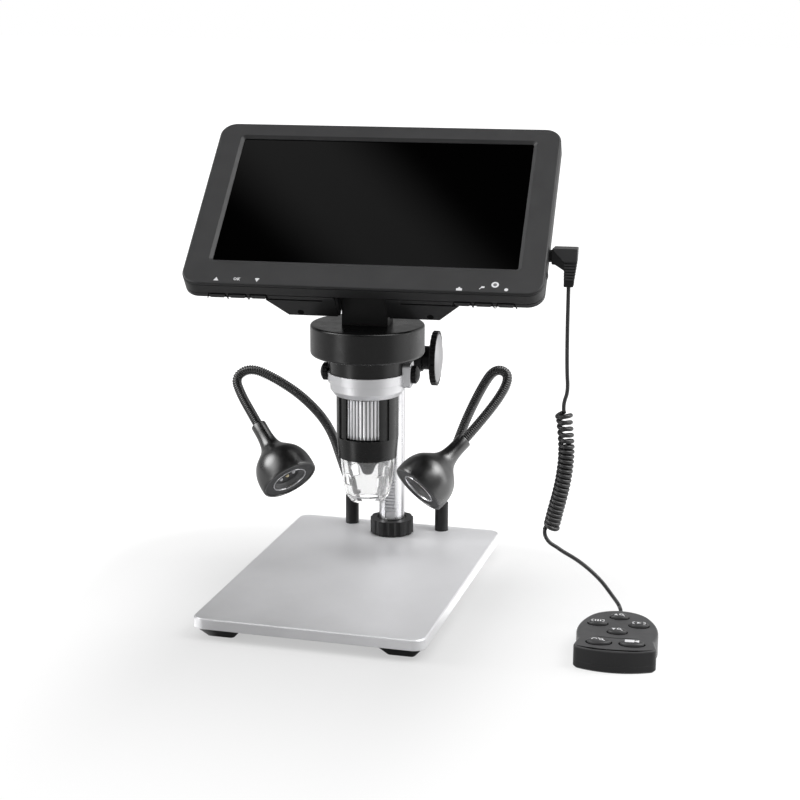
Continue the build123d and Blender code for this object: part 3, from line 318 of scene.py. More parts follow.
DULL = {"Specular_IOR_Level": 0.2}
bezel_mat = plastic("bezel_plastic", 0.043, 0.44, **DULL)
shell_mat = plastic("shell_plastic", 0.026, 0.46, **DULL)
button_mat = plastic("button_plastic", 0.034, 0.44, edge=0.0002, **DULL)
disc_mat = plastic("housing_plastic", 0.003, 0.30, bumpy=0.07, Specular_IOR_Level=0.30)
bracket_mat = plastic("bracket_plastic", 0.004, 0.50, **DULL)
barrel_mat = plastic("barrel_plastic", 0.003, 0.28, bumpy=0.03, Specular_IOR_Level=0.28)
cone_mat = plastic("cone_plastic", 0.012, 0.40, edge=0, **DULL)
knob_mat = plastic("knob_plastic", 0.006, 0.42, edge=0.0002, **DULL)
remote_mat = plastic("remote_plastic", 0.085, 0.42, **DULL)
remote_key_mat = plastic("remote_key_plastic", 0.070, 0.34, edge=0.0001, **DULL)
rubber_mat = plastic("pad_rubber", 0.004, 0.60, grain=4000, bumpy=0.2, **DULL)
cord_mat = plastic("cord_rubber", 0.026, 0.40, grain=5000, bumpy=0.08, edge=0, Specular_IOR_Level=0.4)
plug_mat = plastic("plug_rubber", 0.062, 0.45, grain=6000, bumpy=0.1, edge=0.0003, **DULL)
# Near-black for real gaps and dark joints, and for painted shade: the shadows round the remote's keys, the
# case holes and the line under the remote's lip.
gap_and_shade_mat = Look("gap_and_shade_black", (0.002, 0.002, 0.002), 0.7, Specular_IOR_Level=0.05).material
dark_rubber_and_shade_mat = plastic("dark_rubber_and_recess_shade", 0.018, 0.50, grain=6000, bumpy=0.1, edge=0.0003, **DULL)

ring_mat = metal("ring_satin", 0.62, 0.40, 3200, (1, 1, 0.15), 0.12, edge=0.0003, metallic=0.7)
rod_mat = metal("column_ground", 0.60, 0.28, 2600, (0.6, 0.6, 4), 0.05)
rack_mat = metal("rack_steel", 0.80, 0.34, 2600, (1, 1, 3), 0.10)
steel_mat = metal("screw_steel", 0.55, 0.28, 2600, (1, 1, 1), 0.08)
wheel_mat = metal("wheel_silver", 0.82, 0.34, 900, (1, 1, 0.1), 0.0, edge=0, metallic=0.6)
drum_mat = plastic("wheel_drum", 0.26, 0.4, edge=0)
knob_face_mat = metal("knob_face_silver", 0.50, 0.34, 2400, (0.2, 3, 3), 0.10, metallic=0.5)
black_metal_mat = metal("black_metal", 0.016, 0.34, 5200, (1, 1, 1), 0.10, edge=0.0003, metallic=0.0, **DULL)
lamp_mat = metal("lamp_black", 0.003, 0.31, 2600, (0.05, 0.05, 1), 0.30, edge=0.0001, metallic=0.0,
                 Specular_IOR_Level=0.9)
neck_mat = metal("neck_black", 0.008, 0.30, 4200, (1, 1, 1), 0.0, edge=0, metallic=0.0,
                 Specular_IOR_Level=0.65)
face_mat = plastic("lamp_face_plastic", 0.045, 0.42, bumpy=0.05, edge=0, **DULL)
reflector_mat = plastic("reflector_grey", 0.11, 0.34, bumpy=0.05, edge=0)
board_mat = Look("circuit_board", (0.03, 0.20, 0.09), 0.4).material
battery_mat = metal("battery_foil", 0.5, 0.4, 800, (1, 1, 1), 0.1)
bush_mat = plastic("bush_plastic", 0.75, 0.4)
white_mat = plastic("board_white", 0.72, 0.45)


def plate_material():
    """Satin anodised aluminium, with painted shade and light: darker towards its front left corner, lighter
    towards the back.
    """
    look = Look("plate_anodised", grey(0.62), 0.42, 0.3)
    look.edge(0.0004)
    look.bump(look.noise(5200, 3), 0.16, 0.00004)
    look.vary_rough(look.noise(90, 4), 0.38, 0.47)
    # Painted shade and light: the base colour is darker towards the front left and lighter towards the back,
    # with a faint noise speckle.
    split = look.node("ShaderNodeSeparateXYZ")
    look.link(look.place((1, 1, 1)), split.inputs[0])
    painted_shade_slope = look.node("ShaderNodeMath", operation="MULTIPLY_ADD")
    look.link(split.outputs["X"], painted_shade_slope.inputs[0])
    painted_shade_slope.inputs[1].default_value = 0.6
    look.link(split.outputs["Y"], painted_shade_slope.inputs[2])
    speck_and_painted_shade = look.node("ShaderNodeMath", operation="MULTIPLY_ADD")
    look.link(look.noise(35, 3), speck_and_painted_shade.inputs[0])
    speck_and_painted_shade.inputs[1].default_value = 0.03
    look.link(painted_shade_slope.outputs[0], speck_and_painted_shade.inputs[2])
    ramp = look.node("ShaderNodeValToRGB")
    ramp.color_ramp.elements[0].color = (*grey(0.40), 1)
    ramp.color_ramp.elements[1].color = (*grey(0.98), 1)
    ramp.color_ramp.elements.new(0.40).color = (*grey(0.70), 1)
    spread = look.node("ShaderNodeMapRange")
    spread.inputs["From Min"].default_value, spread.inputs["From Max"].default_value = -0.12, 0.09
    look.link(speck_and_painted_shade.outputs[0], spread.inputs["Value"])
    look.link(spread.outputs["Result"], ramp.inputs["Fac"])
    look.link(ramp.outputs["Color"], look.shader.inputs["Base Color"])
    return look.material


plate_mat = plate_material()


def paint_side_shading(material, share):
    """Painted shade and light: side walls get this share of the top's base colour, so they look darker or
    lighter than the top as if lit less or more.
    """
    tree = material.node_tree
    shader = tree.nodes["Principled BSDF"]
    source = shader.inputs["Base Color"].links[0].from_socket
    geometry, split = tree.nodes.new("ShaderNodeNewGeometry"), tree.nodes.new("ShaderNodeSeparateXYZ")
    ramp, mix = tree.nodes.new("ShaderNodeMapRange"), tree.nodes.new("ShaderNodeVectorMath")
    tree.links.new(geometry.outputs["Normal"], split.inputs[0])
    tree.links.new(split.outputs["Z"], ramp.inputs["Value"])
    ramp.inputs["From Min"].default_value, ramp.inputs["From Max"].default_value = 0.1, 0.8
    ramp.inputs["To Min"].default_value = share
    mix.operation = "SCALE"
    tree.links.new(source, mix.inputs[0])
    tree.links.new(ramp.outputs["Result"], mix.inputs["Scale"])
    tree.links.new(mix.outputs["Vector"], shader.inputs["Base Color"])


# Painted shade and light on the side walls: darker on the remote and the bezel, lighter on the plate's edges.
paint_side_shading(remote_mat, 0.45)
paint_side_shading(bezel_mat, 0.65)
paint_side_shading(plate_mat, 1.4)


def clear_material():
    look = Look("clear_plastic", (0.80, 0.80, 0.80), 0.06, IOR=1.12)
    look.shader.inputs["Transmission Weight"].default_value = 0.88
    look.bump(look.noise(260, 2), 0.05, 0.0003)
    return look.material


clear_mat = clear_material()


def glass_material():
    look = Look("screen_glass", (0.0003, 0.0003, 0.0003), 0.03)
    look.shader.inputs["Specular IOR Level"].default_value = 0.10
    look.vary_rough(look.noise(40, 3), 0.03, 0.05)
    return look.material


screen_mat = glass_material()
mark_mat = plastic("mark_white", 0.85, 0.5, edge=0)
window_mat = plastic("window_smoke", 0.20, 0.25, edge=0)
led_mat = plastic("led_lens", 0.92, 0.15, edge=0, Coat_Weight=0.6)
warm_mat = Look("led_phosphor", (0.88, 0.74, 0.42), 0.25, Coat_Weight=0.6).material

looks = {
    "base_plate": plate_mat, "rubber_feet": rubber_mat, "foot_screws": steel_mat,
    "column_socket": black_metal_mat, "lock_ring": black_metal_mat, "lamp_sockets": black_metal_mat,
    "column_rod": rod_mat, "focus_rack": rack_mat, "carriage_housing": black_metal_mat,
    "carriage_bushes": bush_mat, "pinion_shaft": steel_mat, "focus_knobs": knob_mat,
    "knob_faces": knob_face_mat, "holder_ring": ring_mat, "arm_screws": steel_mat,
    "thumbscrew_right": knob_mat, "thumbscrew_left": knob_mat, "head_housing": disc_mat,
    "sensor_board": board_mat, "screen_bracket": bracket_mat, "hinge_pin": steel_mat,
    "barrel_shell": barrel_mat, "focus_wheel": wheel_mat, "lens_cell": cone_mat, "front_lens": clear_mat,
    "led_board": white_mat, "light_hood": clear_mat, "screen_bezel": bezel_mat, "screen_rear": shell_mat,
    "screen_glass": screen_mat, "lcd_panel": screen_mat, "main_board": board_mat, "battery": battery_mat,
    "shell_screws": steel_mat, "side_dial": button_mat, "jack_plug": plug_mat, "remote_bottom": remote_mat,
    "remote_top": remote_mat, "lamp_left_head": lamp_mat, "lamp_right_head": lamp_mat,
    "lamp_left_lens": screen_mat, "lamp_right_lens": screen_mat,
}
for name, obj in nodes.items():
    material = looks.get(name)
    if material is None:
        if name.startswith("button_"):
            material = button_mat
        elif name.startswith("remote_"):
            material = remote_key_mat
        elif name.startswith("cord_"):
            material = cord_mat
        else:
            material = lamp_mat
    obj.data.materials.clear()
    obj.data.materials.append(material)


def dress(obj, material, body, slot, *replaced):
    obj.data.materials.clear()
    obj.data.materials.append(material)
    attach(obj, body)
    if replaced:
        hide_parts(*replaced)
    return obj


# ------------------------------------------------------------------ camera
CAMERA_TURN, CAMERA_PITCH, CAMERA_ROLL = 15.098, 13.916, -0.197   # degrees
CAMERA_SPOT = (0.2554, -0.8597, 0.3152)
SENSOR = 36.0
FOCAL_PIXELS, PICTURE_PIXELS = 1791.455, 800


def photo_camera():
    a, e, roll = math.radians(CAMERA_TURN), math.radians(CAMERA_PITCH), math.radians(CAMERA_ROLL)
    right = Vector((math.cos(a), math.sin(a), 0))
    back = Vector((math.sin(a) * math.cos(e), -math.cos(a) * math.cos(e), math.sin(e)))
    up = back.cross(right)
    c, s = math.cos(roll), math.sin(roll)
    right, up = c * right - s * up, s * right + c * up
    data = bpy.data.cameras.new("camera")
    data.sensor_width = SENSOR
    data.lens = FOCAL_PIXELS * SENSOR / PICTURE_PIXELS
    data.clip_start, data.clip_end = 0.05, 20
    camera = bpy.data.objects.new("camera", data)
    rows = [(*axis, spot) for *axis, spot in zip(right, up, back, CAMERA_SPOT)]
    camera.matrix_world = Matrix((*rows, (0, 0, 0, 1)))
    bpy.context.scene.collection.objects.link(camera)
    bpy.context.scene.camera = camera


photo_camera()

# ------------------------------------------------------------------ flat shapes
def stroke(points, width):
    """Rectangles along a broken line."""
    out = []
    for (x0, y0), (x1, y1) in zip(points, points[1:]):
        length = math.hypot(x1 - x0, y1 - y0)
        ex, ey = (x1 - x0) / length * width / 2, (y1 - y0) / length * width / 2
        out.append([(x0 - ex - ey, y0 - ey + ex), (x0 - ex + ey, y0 - ey - ex),
                    (x1 + ex + ey, y1 + ey - ex), (x1 + ex - ey, y1 + ey + ex)])
    return out


def hoop(x, y, outer, inner, low=0.0, high=360.0, parts=20):
    """Ring or arc as short quads."""
    out = []
    angles = [math.radians(low + (high - low) * k / parts) for k in range(parts + 1)]
    for a, b in zip(angles, angles[1:]):
        corners = ((inner, a), (outer, a), (outer, b), (inner, b))
        out.append([(x + r * math.cos(angle), y + r * math.sin(angle)) for r, angle in corners])
    return out


def marks(name, shapes, place, low, high, body, material=None, slot="white_plastic"):
    """Thin raised print: each outline stands from low to high."""
    verts, faces = [], []
    for shape in shapes:
        area = sum(a[0] * b[1] - b[0] * a[1] for a, b in zip(shape, shape[1:] + shape[:1]))
        shape = shape if area > 0 else shape[::-1]
        n, start = len(shape), len(verts)
        verts += [(x, y, low) for x, y in shape] + [(x, y, high) for x, y in shape]
        faces.append([start + k for k in reversed(range(n))])
        faces.append([start + n + k for k in range(n)])
        faces += [(start + k, start + (k + 1) % n, start + n + (k + 1) % n, start + n + k) for k in range(n)]
    return dress(make_object(name, verts, faces, place, smooth=False), material or mark_mat, body, slot)


def moved(shapes, x, y):
    return [[(px + x, py + y) for px, py in shape] for shape in shapes]


# ------------------------------------------------------------------ plug: x out from the wall, z up
plug_spot = screen_place @ Vector((91.3, -28.0, -6.0))
plug_frame = Matrix.Translation(plug_spot) @ Matrix.Rotation(YAW, 4, "Z") @ Matrix.Scale(MM, 4)


def plug():
    """Flat right-angle plug: a block with a set-back web in darker rubber as painted shade, and ribs across
    its tapering leg.
    """
    upright = plug_frame @ Matrix.Rotation(math.radians(90), 4, "X")
    head = [(2.0, 4.0), (2.4, 4.4), (13.8, 4.4), (14.2, 4.0), (14.0, -2.0), (7.3, -2.0), (6.6, -1.4),
            (3.0, 2.6)]
    body = marks("plug_head", [head], upright, -4.1, 4.1, "screen", plug_mat, "rubber_black")
    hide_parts("jack_plug")
    # Painted shade: the set-back web is in darker rubber for the shade in its recess; the leg and collar
    # share that rubber.
    web = [(1.4, 3.6), (3.2, 3.6), (7.6, -1.8), (7.8, -6.8), (3.2, -3.9), (1.6, -3.7), (1.4, -3.2)]
    side = marks("plug_web", [web], upright, -3.4, 3.4, "screen", dark_rubber_and_shade_mat, "rubber_black")
    leg = [(7.3, -1.9), (13.9, -1.9), (13.3, -6.5), (12.6, -11.5), (12.4, -14.6), (12.0, -15.0), (8.0, -15.0),
           (7.6, -14.6), (7.7, -7.0)]
    tail = marks("plug_leg", [leg], upright, -2.9, 2.9, "screen", dark_rubber_and_shade_mat, "rubber_black")
    ribs = []
    for k in range(7):
        high = -1.9 - 1.45 * k
        left, right = 7.45 + 0.02 * k, 14.05 - 0.2 * k
        ribs.append([(left, high), (right, high), (right - 0.14, high - 0.9), (left, high - 0.9)])
    comb = marks("plug_ribs", ribs, upright, -3.3, 3.3, "screen", plug_mat, "rubber_black")
    stem = [(0, -7.0), (1.75, -7.0), (1.75, 0.0), (0, 0.0)]
    across = plug_frame @ Matrix.Rotation(math.radians(90), 4, "Y")
    pin = dress(sharpen(lathe("plug_pin", stem, across, 40)), steel_mat, "screen", "bright_steel")
    collar = [(0, 0.05), (3.0, 0.05), (3.1, 0.2), (3.1, 2.2), (0, 2.2)]
    neck = dress(sharpen(lathe("plug_collar", collar, across, 40)), dark_rubber_and_shade_mat, "screen", "rubber_black")
    return [body, side, tail, comb, neck, pin]


plug_pieces = plug()

cone_profile = [(0, 54.6), (1.9, 54.4), (2.6, 54.9), (3.1, 56.0), (3.6, 57.6), (4.4, 59.2), (5.7, 60.6),
                (7.2, 61.8), (8.8, 63.2), (9.4, 64.4), (9.4, 71.0), (11.4, 71.0), (11.4, 101.0), (0, 101.0)]
lens_cone = sharpen(lathe("lens_cone", cone_profile, lens_place, 96), 50)
dress(lens_cone, cone_mat, "head", "black_plastic", "lens_cell")

WHEEL_RIBS = 46


def wheel():
    """Focus wheel behind the barrel's window: bright ribs with pointed lower ends on a dark drum."""
    drum = [(11.5, 75.7), (13.45, 75.7), (13.45, 96.5), (11.5, 96.5)]
    core = lathe("wheel_drum", drum, lens_place, 120, closed=True)
    dress(sharpen(core), drum_mat, "focus_wheel", "satin_silver", "focus_wheel")
    half = math.pi / WHEEL_RIBS * 0.70
    verts, faces = [], []
    for k in range(WHEEL_RIBS):
        start, middle = len(verts), 2 * math.pi * k / WHEEL_RIBS
        for z, share in ((75.8, 0.15), (78.0, 1.0), (96.4, 1.0)):
            for step, radius in ((-1, 13.4), (-0.8, 13.95), (0, 14.08), (0.8, 13.95), (1, 13.4)):
                angle = middle + step * share * half
                verts.append((radius * math.cos(angle), radius * math.sin(angle), z))
        for row in (0, 5):
            corners = range(start + row, start + row + 4)
            faces += [(i, i + 1, i + 6, i + 5) for i in corners]
        faces.append([start + i for i in reversed(range(5))])
        faces.append([start + 10 + i for i in range(5)])
        faces += [(start, start + 5, start + 9, start + 4), (start + 5, start + 10, start + 14, start + 9)]
    ribs = make_object("wheel_ribs", verts, faces, lens_place)
    dress(sharpen(ribs, 25), wheel_mat, "focus_wheel", "satin_silver")


wheel()

# ------------------------------------------------------------------ cord: the routes' points, in mm
upper_a_route = [(106.93, 12.62, 155.65), (106.93, 12.62, 147.5), (107.2, 10.9, 134.0), (107.5, 10.0, 124.0)]
upper_b_route = [(107.5, 10.0, 124.0), (107.83, 9.12, 113.0), (108.8, 8.4, 103.5), (106.9, 8.28, 96.1),
                 (107.6, 8.0, 89.5)]
coil_route = [(107.6, 8.0, 89.5), (108.6, 7.6, 80.0), (109.2, 6.6, 70.0), (108.6, 5.0, 60.0),
              (107.2, 2.2, 50.5), (105.4, -1.2, 42.0), (104.2, -4.6, 34.5)]
lower_route = [(104.2, -4.6, 34.5), (103.3, -7.15, 28.9), (109.4, -8.0, 24.4), (117.6, -9.4, 21.0),
               (125.0, -12.0, 17.2), (132.0, -12.5, 11.2), (136.9, -11.9, 4.6), (142.0, -7.16, -4.6),
               (143.12, -20.01, -4.6)]
CORD_RADIUS = 0.001
CORD_STEPS = 90
COIL_TURNS = 24.36
COIL_WIRE = 0.00112       # radius, a little more than the straight cord's
COIL_TAIL = 0.012         # length over which a straight cord swings out to the coil's wire
COIL_STEPS = 30           # points in each turn
COIL_RADIUS, COIL_SWELL = 0.00315, 0.0007
COIL_VIEW, COIL_RIGHT = (0.163, -0.945, 0.283), (0.9855, 0.17, 0.0)
COIL_TIP, COIL_TIP_MORE = 15, 17   # degrees that the turns tip towards the front
COIL_START = 0.9          # radians


def line_length(line):
    return float(np.sum(np.linalg.norm(np.diff(line, axis=0), axis=1)))


def cord_piece(name, line, radius, segments=12):
    return sweep(name, line, [radius] * len(line), segments)


def declare_cord(obj, line, node, start, end):
    obj.data.materials.append(cord_mat)
    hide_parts(node)
    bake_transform(obj)
    tuple(line[0])
    [tuple(p) for p in line]


def straight_cord(name, route, node, first=None, last=None):
    """Hanging cord along its route; first or last is where the coil's wire meets it."""
    line, length = evenly(route_line(route), CORD_STEPS)
    along = np.linspace(0, length, len(line))
    for spot, reach in ((first, along), (last, length - along)):
        if spot is not None:
            gap = np.array(spot) - line[0 if reach[0] == 0 else -1]
            line = line + gap * np.array([1 - smoothstep(d / COIL_TAIL) for d in reach])[:, None]
    obj = cord_piece(name, line, CORD_RADIUS)
    declare_cord(obj, line, node, tuple(line[4]), tuple(line[-4]))


def coil_line():
    """Helix round the route's spline: close and leaning over below, looser and larger in its first turns."""
    steps = int(COIL_TURNS * COIL_STEPS)
    centre, _ = evenly(route_line(coil_route), steps)
    tangents, _, _ = frames_along(centre)
    view, right = np.array(COIL_VIEW), np.array(COIL_RIGHT)
    points = []
    for i in range(steps):
        t = i / (steps - 1)
        turn = COIL_TURNS * (0.87 * t + 0.13 * t * t)
        up = -tangents[i] - view * np.dot(-tangents[i], view)
        up /= np.linalg.norm(up)
        tip = math.radians(COIL_TIP + COIL_TIP_MORE * smoothstep(t * 1.1))
        normal = math.cos(tip) * up + math.sin(tip) * view
        roll = 0.24 * (1 - smoothstep(turn / 2.2))
        side = right - normal * np.dot(right, normal)
        side = side / np.linalg.norm(side) * math.cos(roll) + normal * math.sin(roll)
        back = np.cross(normal, right)
        back /= np.linalg.norm(back)
        radius = (COIL_RADIUS + COIL_SWELL * (1 - smoothstep(turn / 1.6))) * smoothstep(0.05 + turn / 0.45)
        lift = np.array((-0.0006, 0, 0.0026)) * (1 - smoothstep(turn / 6.0))
        lift = lift - np.array((0, 0, 0.0012)) * smoothstep(turn - COIL_TURNS + 1)
        angle = 2 * math.pi * turn + COIL_START
        points.append(centre[i] + lift + radius * (math.cos(angle) * side + math.sin(angle) * back))
    return np.array(points)


helix = coil_line()
straight_cord("cord_from_plug", upper_a_route, "cord_upper_a")
straight_cord("cord_to_coil", upper_b_route, "cord_upper_b", last=helix[0])
coil = cord_piece("cord_curly", helix, COIL_WIRE, 9)
declare_cord(coil, helix, "cord_coil", tuple(helix[0]), tuple(helix[-1]))
straight_cord("cord_to_remote", lower_route, "cord_lower", first=helix[-1])

# ------------------------------------------------------------------ flexible necks
left_neck_route = [(-26.3, 80.5, 1.5), (-26.3, 80.5, 19.0), (-31.0, 78.4, 34.0), (-37.2, 73.6, 58.0),
                   (-49.5, 64.5, 76.0), (-64.0, 57.8, 87.5), (-77.0, 54.2, 93.5), (-85.5, 51.5, 88.0),
                   (-80.3, 47.2, 79.2)]
right_neck_route = [(26.3, 80.5, 1.5), (26.3, 80.5, 19.0), (29.6, 81.2, 36.0), (37.5, 83.8, 61.0),
                    (47.5, 83.2, 83.0), (56.0, 79.2, 96.0), (65.2, 75.6, 94.0), (62.2, 70.0, 83.5)]
LAMPS = {
    "left": ((-43.9, 22.0, 40.0), (0.615, -0.421, -0.665), left_neck_route),
    "right": ((25.4, 30.0, 38.2), (-0.534, -0.580, -0.616), right_neck_route),
}


def along_aim(face, aim, reach):
    return tuple(f - reach * a for f, a in zip(face, aim))


NECK_PITCH = 0.00118
NECK_CORE, NECK_RIB = 0.00212, 0.00055
RIB_SHAPE = (0.0, 0.70, 0.97, 1.0, 0.97, 0.70)
BEND_SPOT = 51.9          # pivot behind the lamp's face, mm


def neck(side):
    """Wound metal tube with close round ribs that runs into the bell."""
    face, aim, route = LAMPS[side]
    rough = route_line(route + [along_aim(face, aim, 44.9), along_aim(face, aim, 28.9)])
    per = len(RIB_SHAPE)
    ribs = int(line_length(rough) / NECK_PITCH)
    line, _ = evenly(rough, ribs * per + 1)
    radii = [NECK_CORE + NECK_RIB * RIB_SHAPE[i % per] for i in range(len(line))]
    obj = sweep(f"lamp_{side}_flex", line, radii, 18)
    obj.data.materials.append(neck_mat)
    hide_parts(f"lamp_{side}_neck")
    pivot = Vector(along_aim(face, aim, BEND_SPOT)) * MM
    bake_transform(obj)


neck("left")
neck("right")


# ------------------------------------------------------------------ lamps
LIGHT_ROWS = {"left": (-0.7879, -0.3437, -0.511), "right": (-0.742, -0.0283, 0.6698)}
LIGHT_PITCH = 3.9


def lamp(side):
    """Turned bell, flat face, bright ring and the grey recess with its row of three lights."""
    face, aim, _ = LAMPS[side]
    place = lamp_place(face, aim)
    body = f"lamp_{side}_head"
    outer = [(14.4, 1.0), (14.4, 0.12), (14.5, 0.0), (15.25, 0.0), (15.55, 0.3), (15.7, 1.2)]
    outer += spline([(15.7, 1.2), (15.8, 4.0), (15.5, 8.0), (14.6, 11.5), (12.8, 15.0), (10.0, 18.0),
                     (7.4, 20.5), (5.7, 23.0), (4.8, 26.0), (4.35, 29.5), (4.2, 32.5)], 5)[1:]
    outer += [(4.2, 37.3), (4.05, 37.75), (3.6, 37.9), (2.75, 37.9), (2.75, 33.0), (0, 33.0)]
    bell = lathe(f"lamp_{side}_bell", [(0, 4.0), (14.4, 4.0)] + outer, place, 128)
    dress(sharpen(bell, 40), lamp_mat, body, "black_metal", f"lamp_{side}_head")
    flat = [(14.35, 3.9), (14.35, 0.45), (9.9, 0.45), (9.7, 0.65), (9.7, 3.9)]
    front = sharpen(lathe(f"lamp_{side}_face", flat, place, 112, closed=True), 30)
    dress(front, face_mat, body, "gloss_black", f"lamp_{side}_lens")
    ring = [(9.7, 1.2), (9.7, 0.4), (9.6, 0.25), (9.25, 0.25), (9.15, 0.4), (9.15, 1.2)]
    rim = sharpen(lathe(f"lamp_{side}_bezel_ring", ring, place, 96, closed=True), 50)
    dress(rim, steel_mat, body, "bright_steel")
    cone = [(9.65, 1.1), (9.2, 1.1), (8.4, 2.6), (7.5, 3.3), (7.5, 3.9), (9.65, 3.9)]
    recess = sharpen(lathe(f"lamp_{side}_reflector", cone, place, 96, closed=True), 50)
    dress(recess, reflector_mat, body, "bright_steel")
    well = [(0, 3.9), (7.6, 3.9), (7.6, 3.35), (7.2, 3.3), (0, 3.2)]
    dress(lathe(f"lamp_{side}_well", well, place, 64), face_mat, body, "gloss_black")
    row = (place.to_3x3().inverted() @ Vector(LIGHT_ROWS[side])).normalized()
    for k in range(3):
        spot = place @ shift(LIGHT_PITCH * (k - 1) * row.x, LIGHT_PITCH * (k - 1) * row.y, 0)
        chip = [(0, 2.35), (0.4, 2.4), (0.7, 2.6), (0.75, 2.85), (1.0, 2.85), (1.05, 2.95), (1.05, 3.35),
                (0, 3.35)]
        light = lathe(f"lamp_{side}_light_{k + 1}", chip, spot, 24)
        dress(light, warm_mat if k == 1 else led_mat, body, "clear_plastic")


lamp("left")
lamp("right")


# ------------------------------------------------------------------ printed marks
def bezel_marks():
    """Small prints over the six buttons and the light's window."""
    arrow = [[(-1.3, -1.05), (1.3, -1.05), (0, 1.25)]]
    drop = [[(-1.2, 0.9), (0, -1.35), (1.2, 0.9), (0.5, 1.15), (-0.5, 1.15)]]
    enter = hoop(-0.95, 0, 0.85, 0.5) + stroke([(0.35, 0.85), (0.35, -0.85)], 0.36)
    enter += stroke([(1.35, 0.8), (0.5, 0.0), (1.35, -0.8)], 0.36)
    still = [[(-1.45, -1.1), (1.45, -1.1), (1.45, 0.3), (0.6, 0.45), (0.35, 1.15), (-0.35, 1.15),
              (-0.6, 0.45), (-1.45, 0.3)]]
    flag = [[(-0.5, -0.2), (1.15, 0.0), (1.15, 0.9), (-0.4, 0.95)]]
    flag += stroke([(-1.2, -0.8), (-0.3, 0.3)], 0.35)
    window = hoop(0, 0, 1.85, 0.95, parts=28)
    spot = hoop(0, 0, 0.95, 0.0)
    shapes = moved(arrow, -72.65, -57.1) + moved(enter, -61.97, -56.71) + moved(drop, -51.69, -56.91)
    shapes += moved(still, 50.07, -58.2) + moved(flag, 61.25, -57.01) + moved(spot, 73.12, -57.8)
    shapes += moved(window, 67.43, -54.81)
    marks("bezel_marks", shapes, screen_place, 1.45, 1.54, "screen")
    marks("bezel_window", moved(spot, 67.43, -54.81), screen_place, 1.45, 1.53, "screen", window_mat,
          "gloss_black")


bezel_marks()

LINER_IN, LINER_OUT = 12.05, 13.35
BUTTON_SPANS = ((-77.5, -68.7), (-67.1, -58.1), (-56.0, -47.5), (47.0, 55.4), (57.4, 66.0), (68.5, 77.1))


def screen_details():
    """Dark outlines above the buttons, painted shade in the two case holes, and the hinge cheeks' liners."""
    under = Matrix.Rotation(math.radians(90), 4, "X")
    lines = []
    for left, right in BUTTON_SPANS:
        corners = [(left - 0.9, -9.6), (left + 0.3, -5.7), (right - 0.3, -5.7), (right + 0.9, -9.6)]
        lines += stroke(corners, 0.42)
    marks("button_outlines", lines, screen_place @ shift(0, -60.3, 0) @ under, -0.3, 0.04, "screen", gap_and_shade_mat,
          "black_plastic")
    # Painted shade: dark discs stand for the shade inside the two case holes.
    holes = moved(hoop(0, 0, 1.7, 0.0), -32.1, -19.6) + moved(hoop(0, 0, 1.7, 0.0), 34.0, -19.8)
    marks("case_hole_shades", holes, screen_place @ shift(0, -59.0, 0) @ under, -0.3, 0.03, "screen", gap_and_shade_mat,
          "black_plastic")
    liners = []
    for side in (-1, 1):
        near, far = sorted((side * LINER_IN, side * LINER_OUT))
        liners.append([(near, -21.6), (far, -21.6), (far, -6.6), (near, -6.6)])
    marks("hinge_liners", liners, screen_place @ shift(0, -46.0, 0) @ under, 0.0, 12.7, "screen", shell_mat,
          "black_plastic")


screen_details()

# ------------------------------------------------------------------ remote control's keys
REMOTE_HEIGHT = 11.6
MARK_SCALE = 1.12
GAP_PARTS = 40
KEYS = {
    "remote_up": (0.0, 16.9, 9.2, 6.2), "remote_left": (-9.9, 7.2, 9.7, 6.6),
    "remote_right": (9.9, 7.2, 9.7, 6.6), "remote_down": (0.0, -2.9, 9.6, 6.6),
    "remote_zoom": (-7.8, -17.3, 12.0, 7.8), "remote_snap": (7.8, -17.3, 12.0, 7.8),
}


def key_marks():
    """Outlines of each key's mark, in mm round the key's centre."""
    glass = hoop(0.7, 0.35, 0.95, 0.55) + stroke([(1.35, -0.35), (2.1, -1.1)], 0.42)
    tele = [[(-2.4, -0.9), (-0.7, -0.9), (-1.5, 1.0)]] + glass
    wide = [[(-2.4, 0.9), (-1.5, -1.0), (-0.7, 0.9)]] + glass
    frame_left = stroke([(-2.0, 1.1), (-2.6, 1.1), (-2.6, -1.1), (-2.0, -1.1)], 0.4)
    frame_right = stroke([(2.0, 1.1), (2.6, 1.1), (2.6, -1.1), (2.0, -1.1)], 0.4)
    bars = stroke([(-1.1, 0.55), (-1.1, -0.55)], 0.6) + stroke([(0, 0.75), (0, -0.75)], 0.6)
    bars += stroke([(1.1, 0.55), (1.1, -0.55)], 0.6)
    play = [[(-0.8, -0.95), (1.0, 0.0), (-0.8, 0.95)]]
    turn = hoop(-1.9, -0.1, 1.25, 0.8, 10, 200) + hoop(1.0, -0.2, 0.9, 0.45)
    turn += stroke([(1.7, -0.9), (2.4, -1.4)], 0.42) + stroke([(-0.2, 1.1), (0.3, 0.2)], 0.42)
    film = [[(-3.0, -1.35), (1.0, -1.35), (1.0, 1.35), (-3.0, 1.35)],
            [(1.0, 0.3), (3.0, 1.35), (3.0, -1.35), (1.0, -0.3)]]
    both = frame_left + frame_right
    return {"remote_up": tele, "remote_left": both + bars, "remote_right": both + play, "remote_down": wide,
            "remote_zoom": turn, "remote_snap": film}


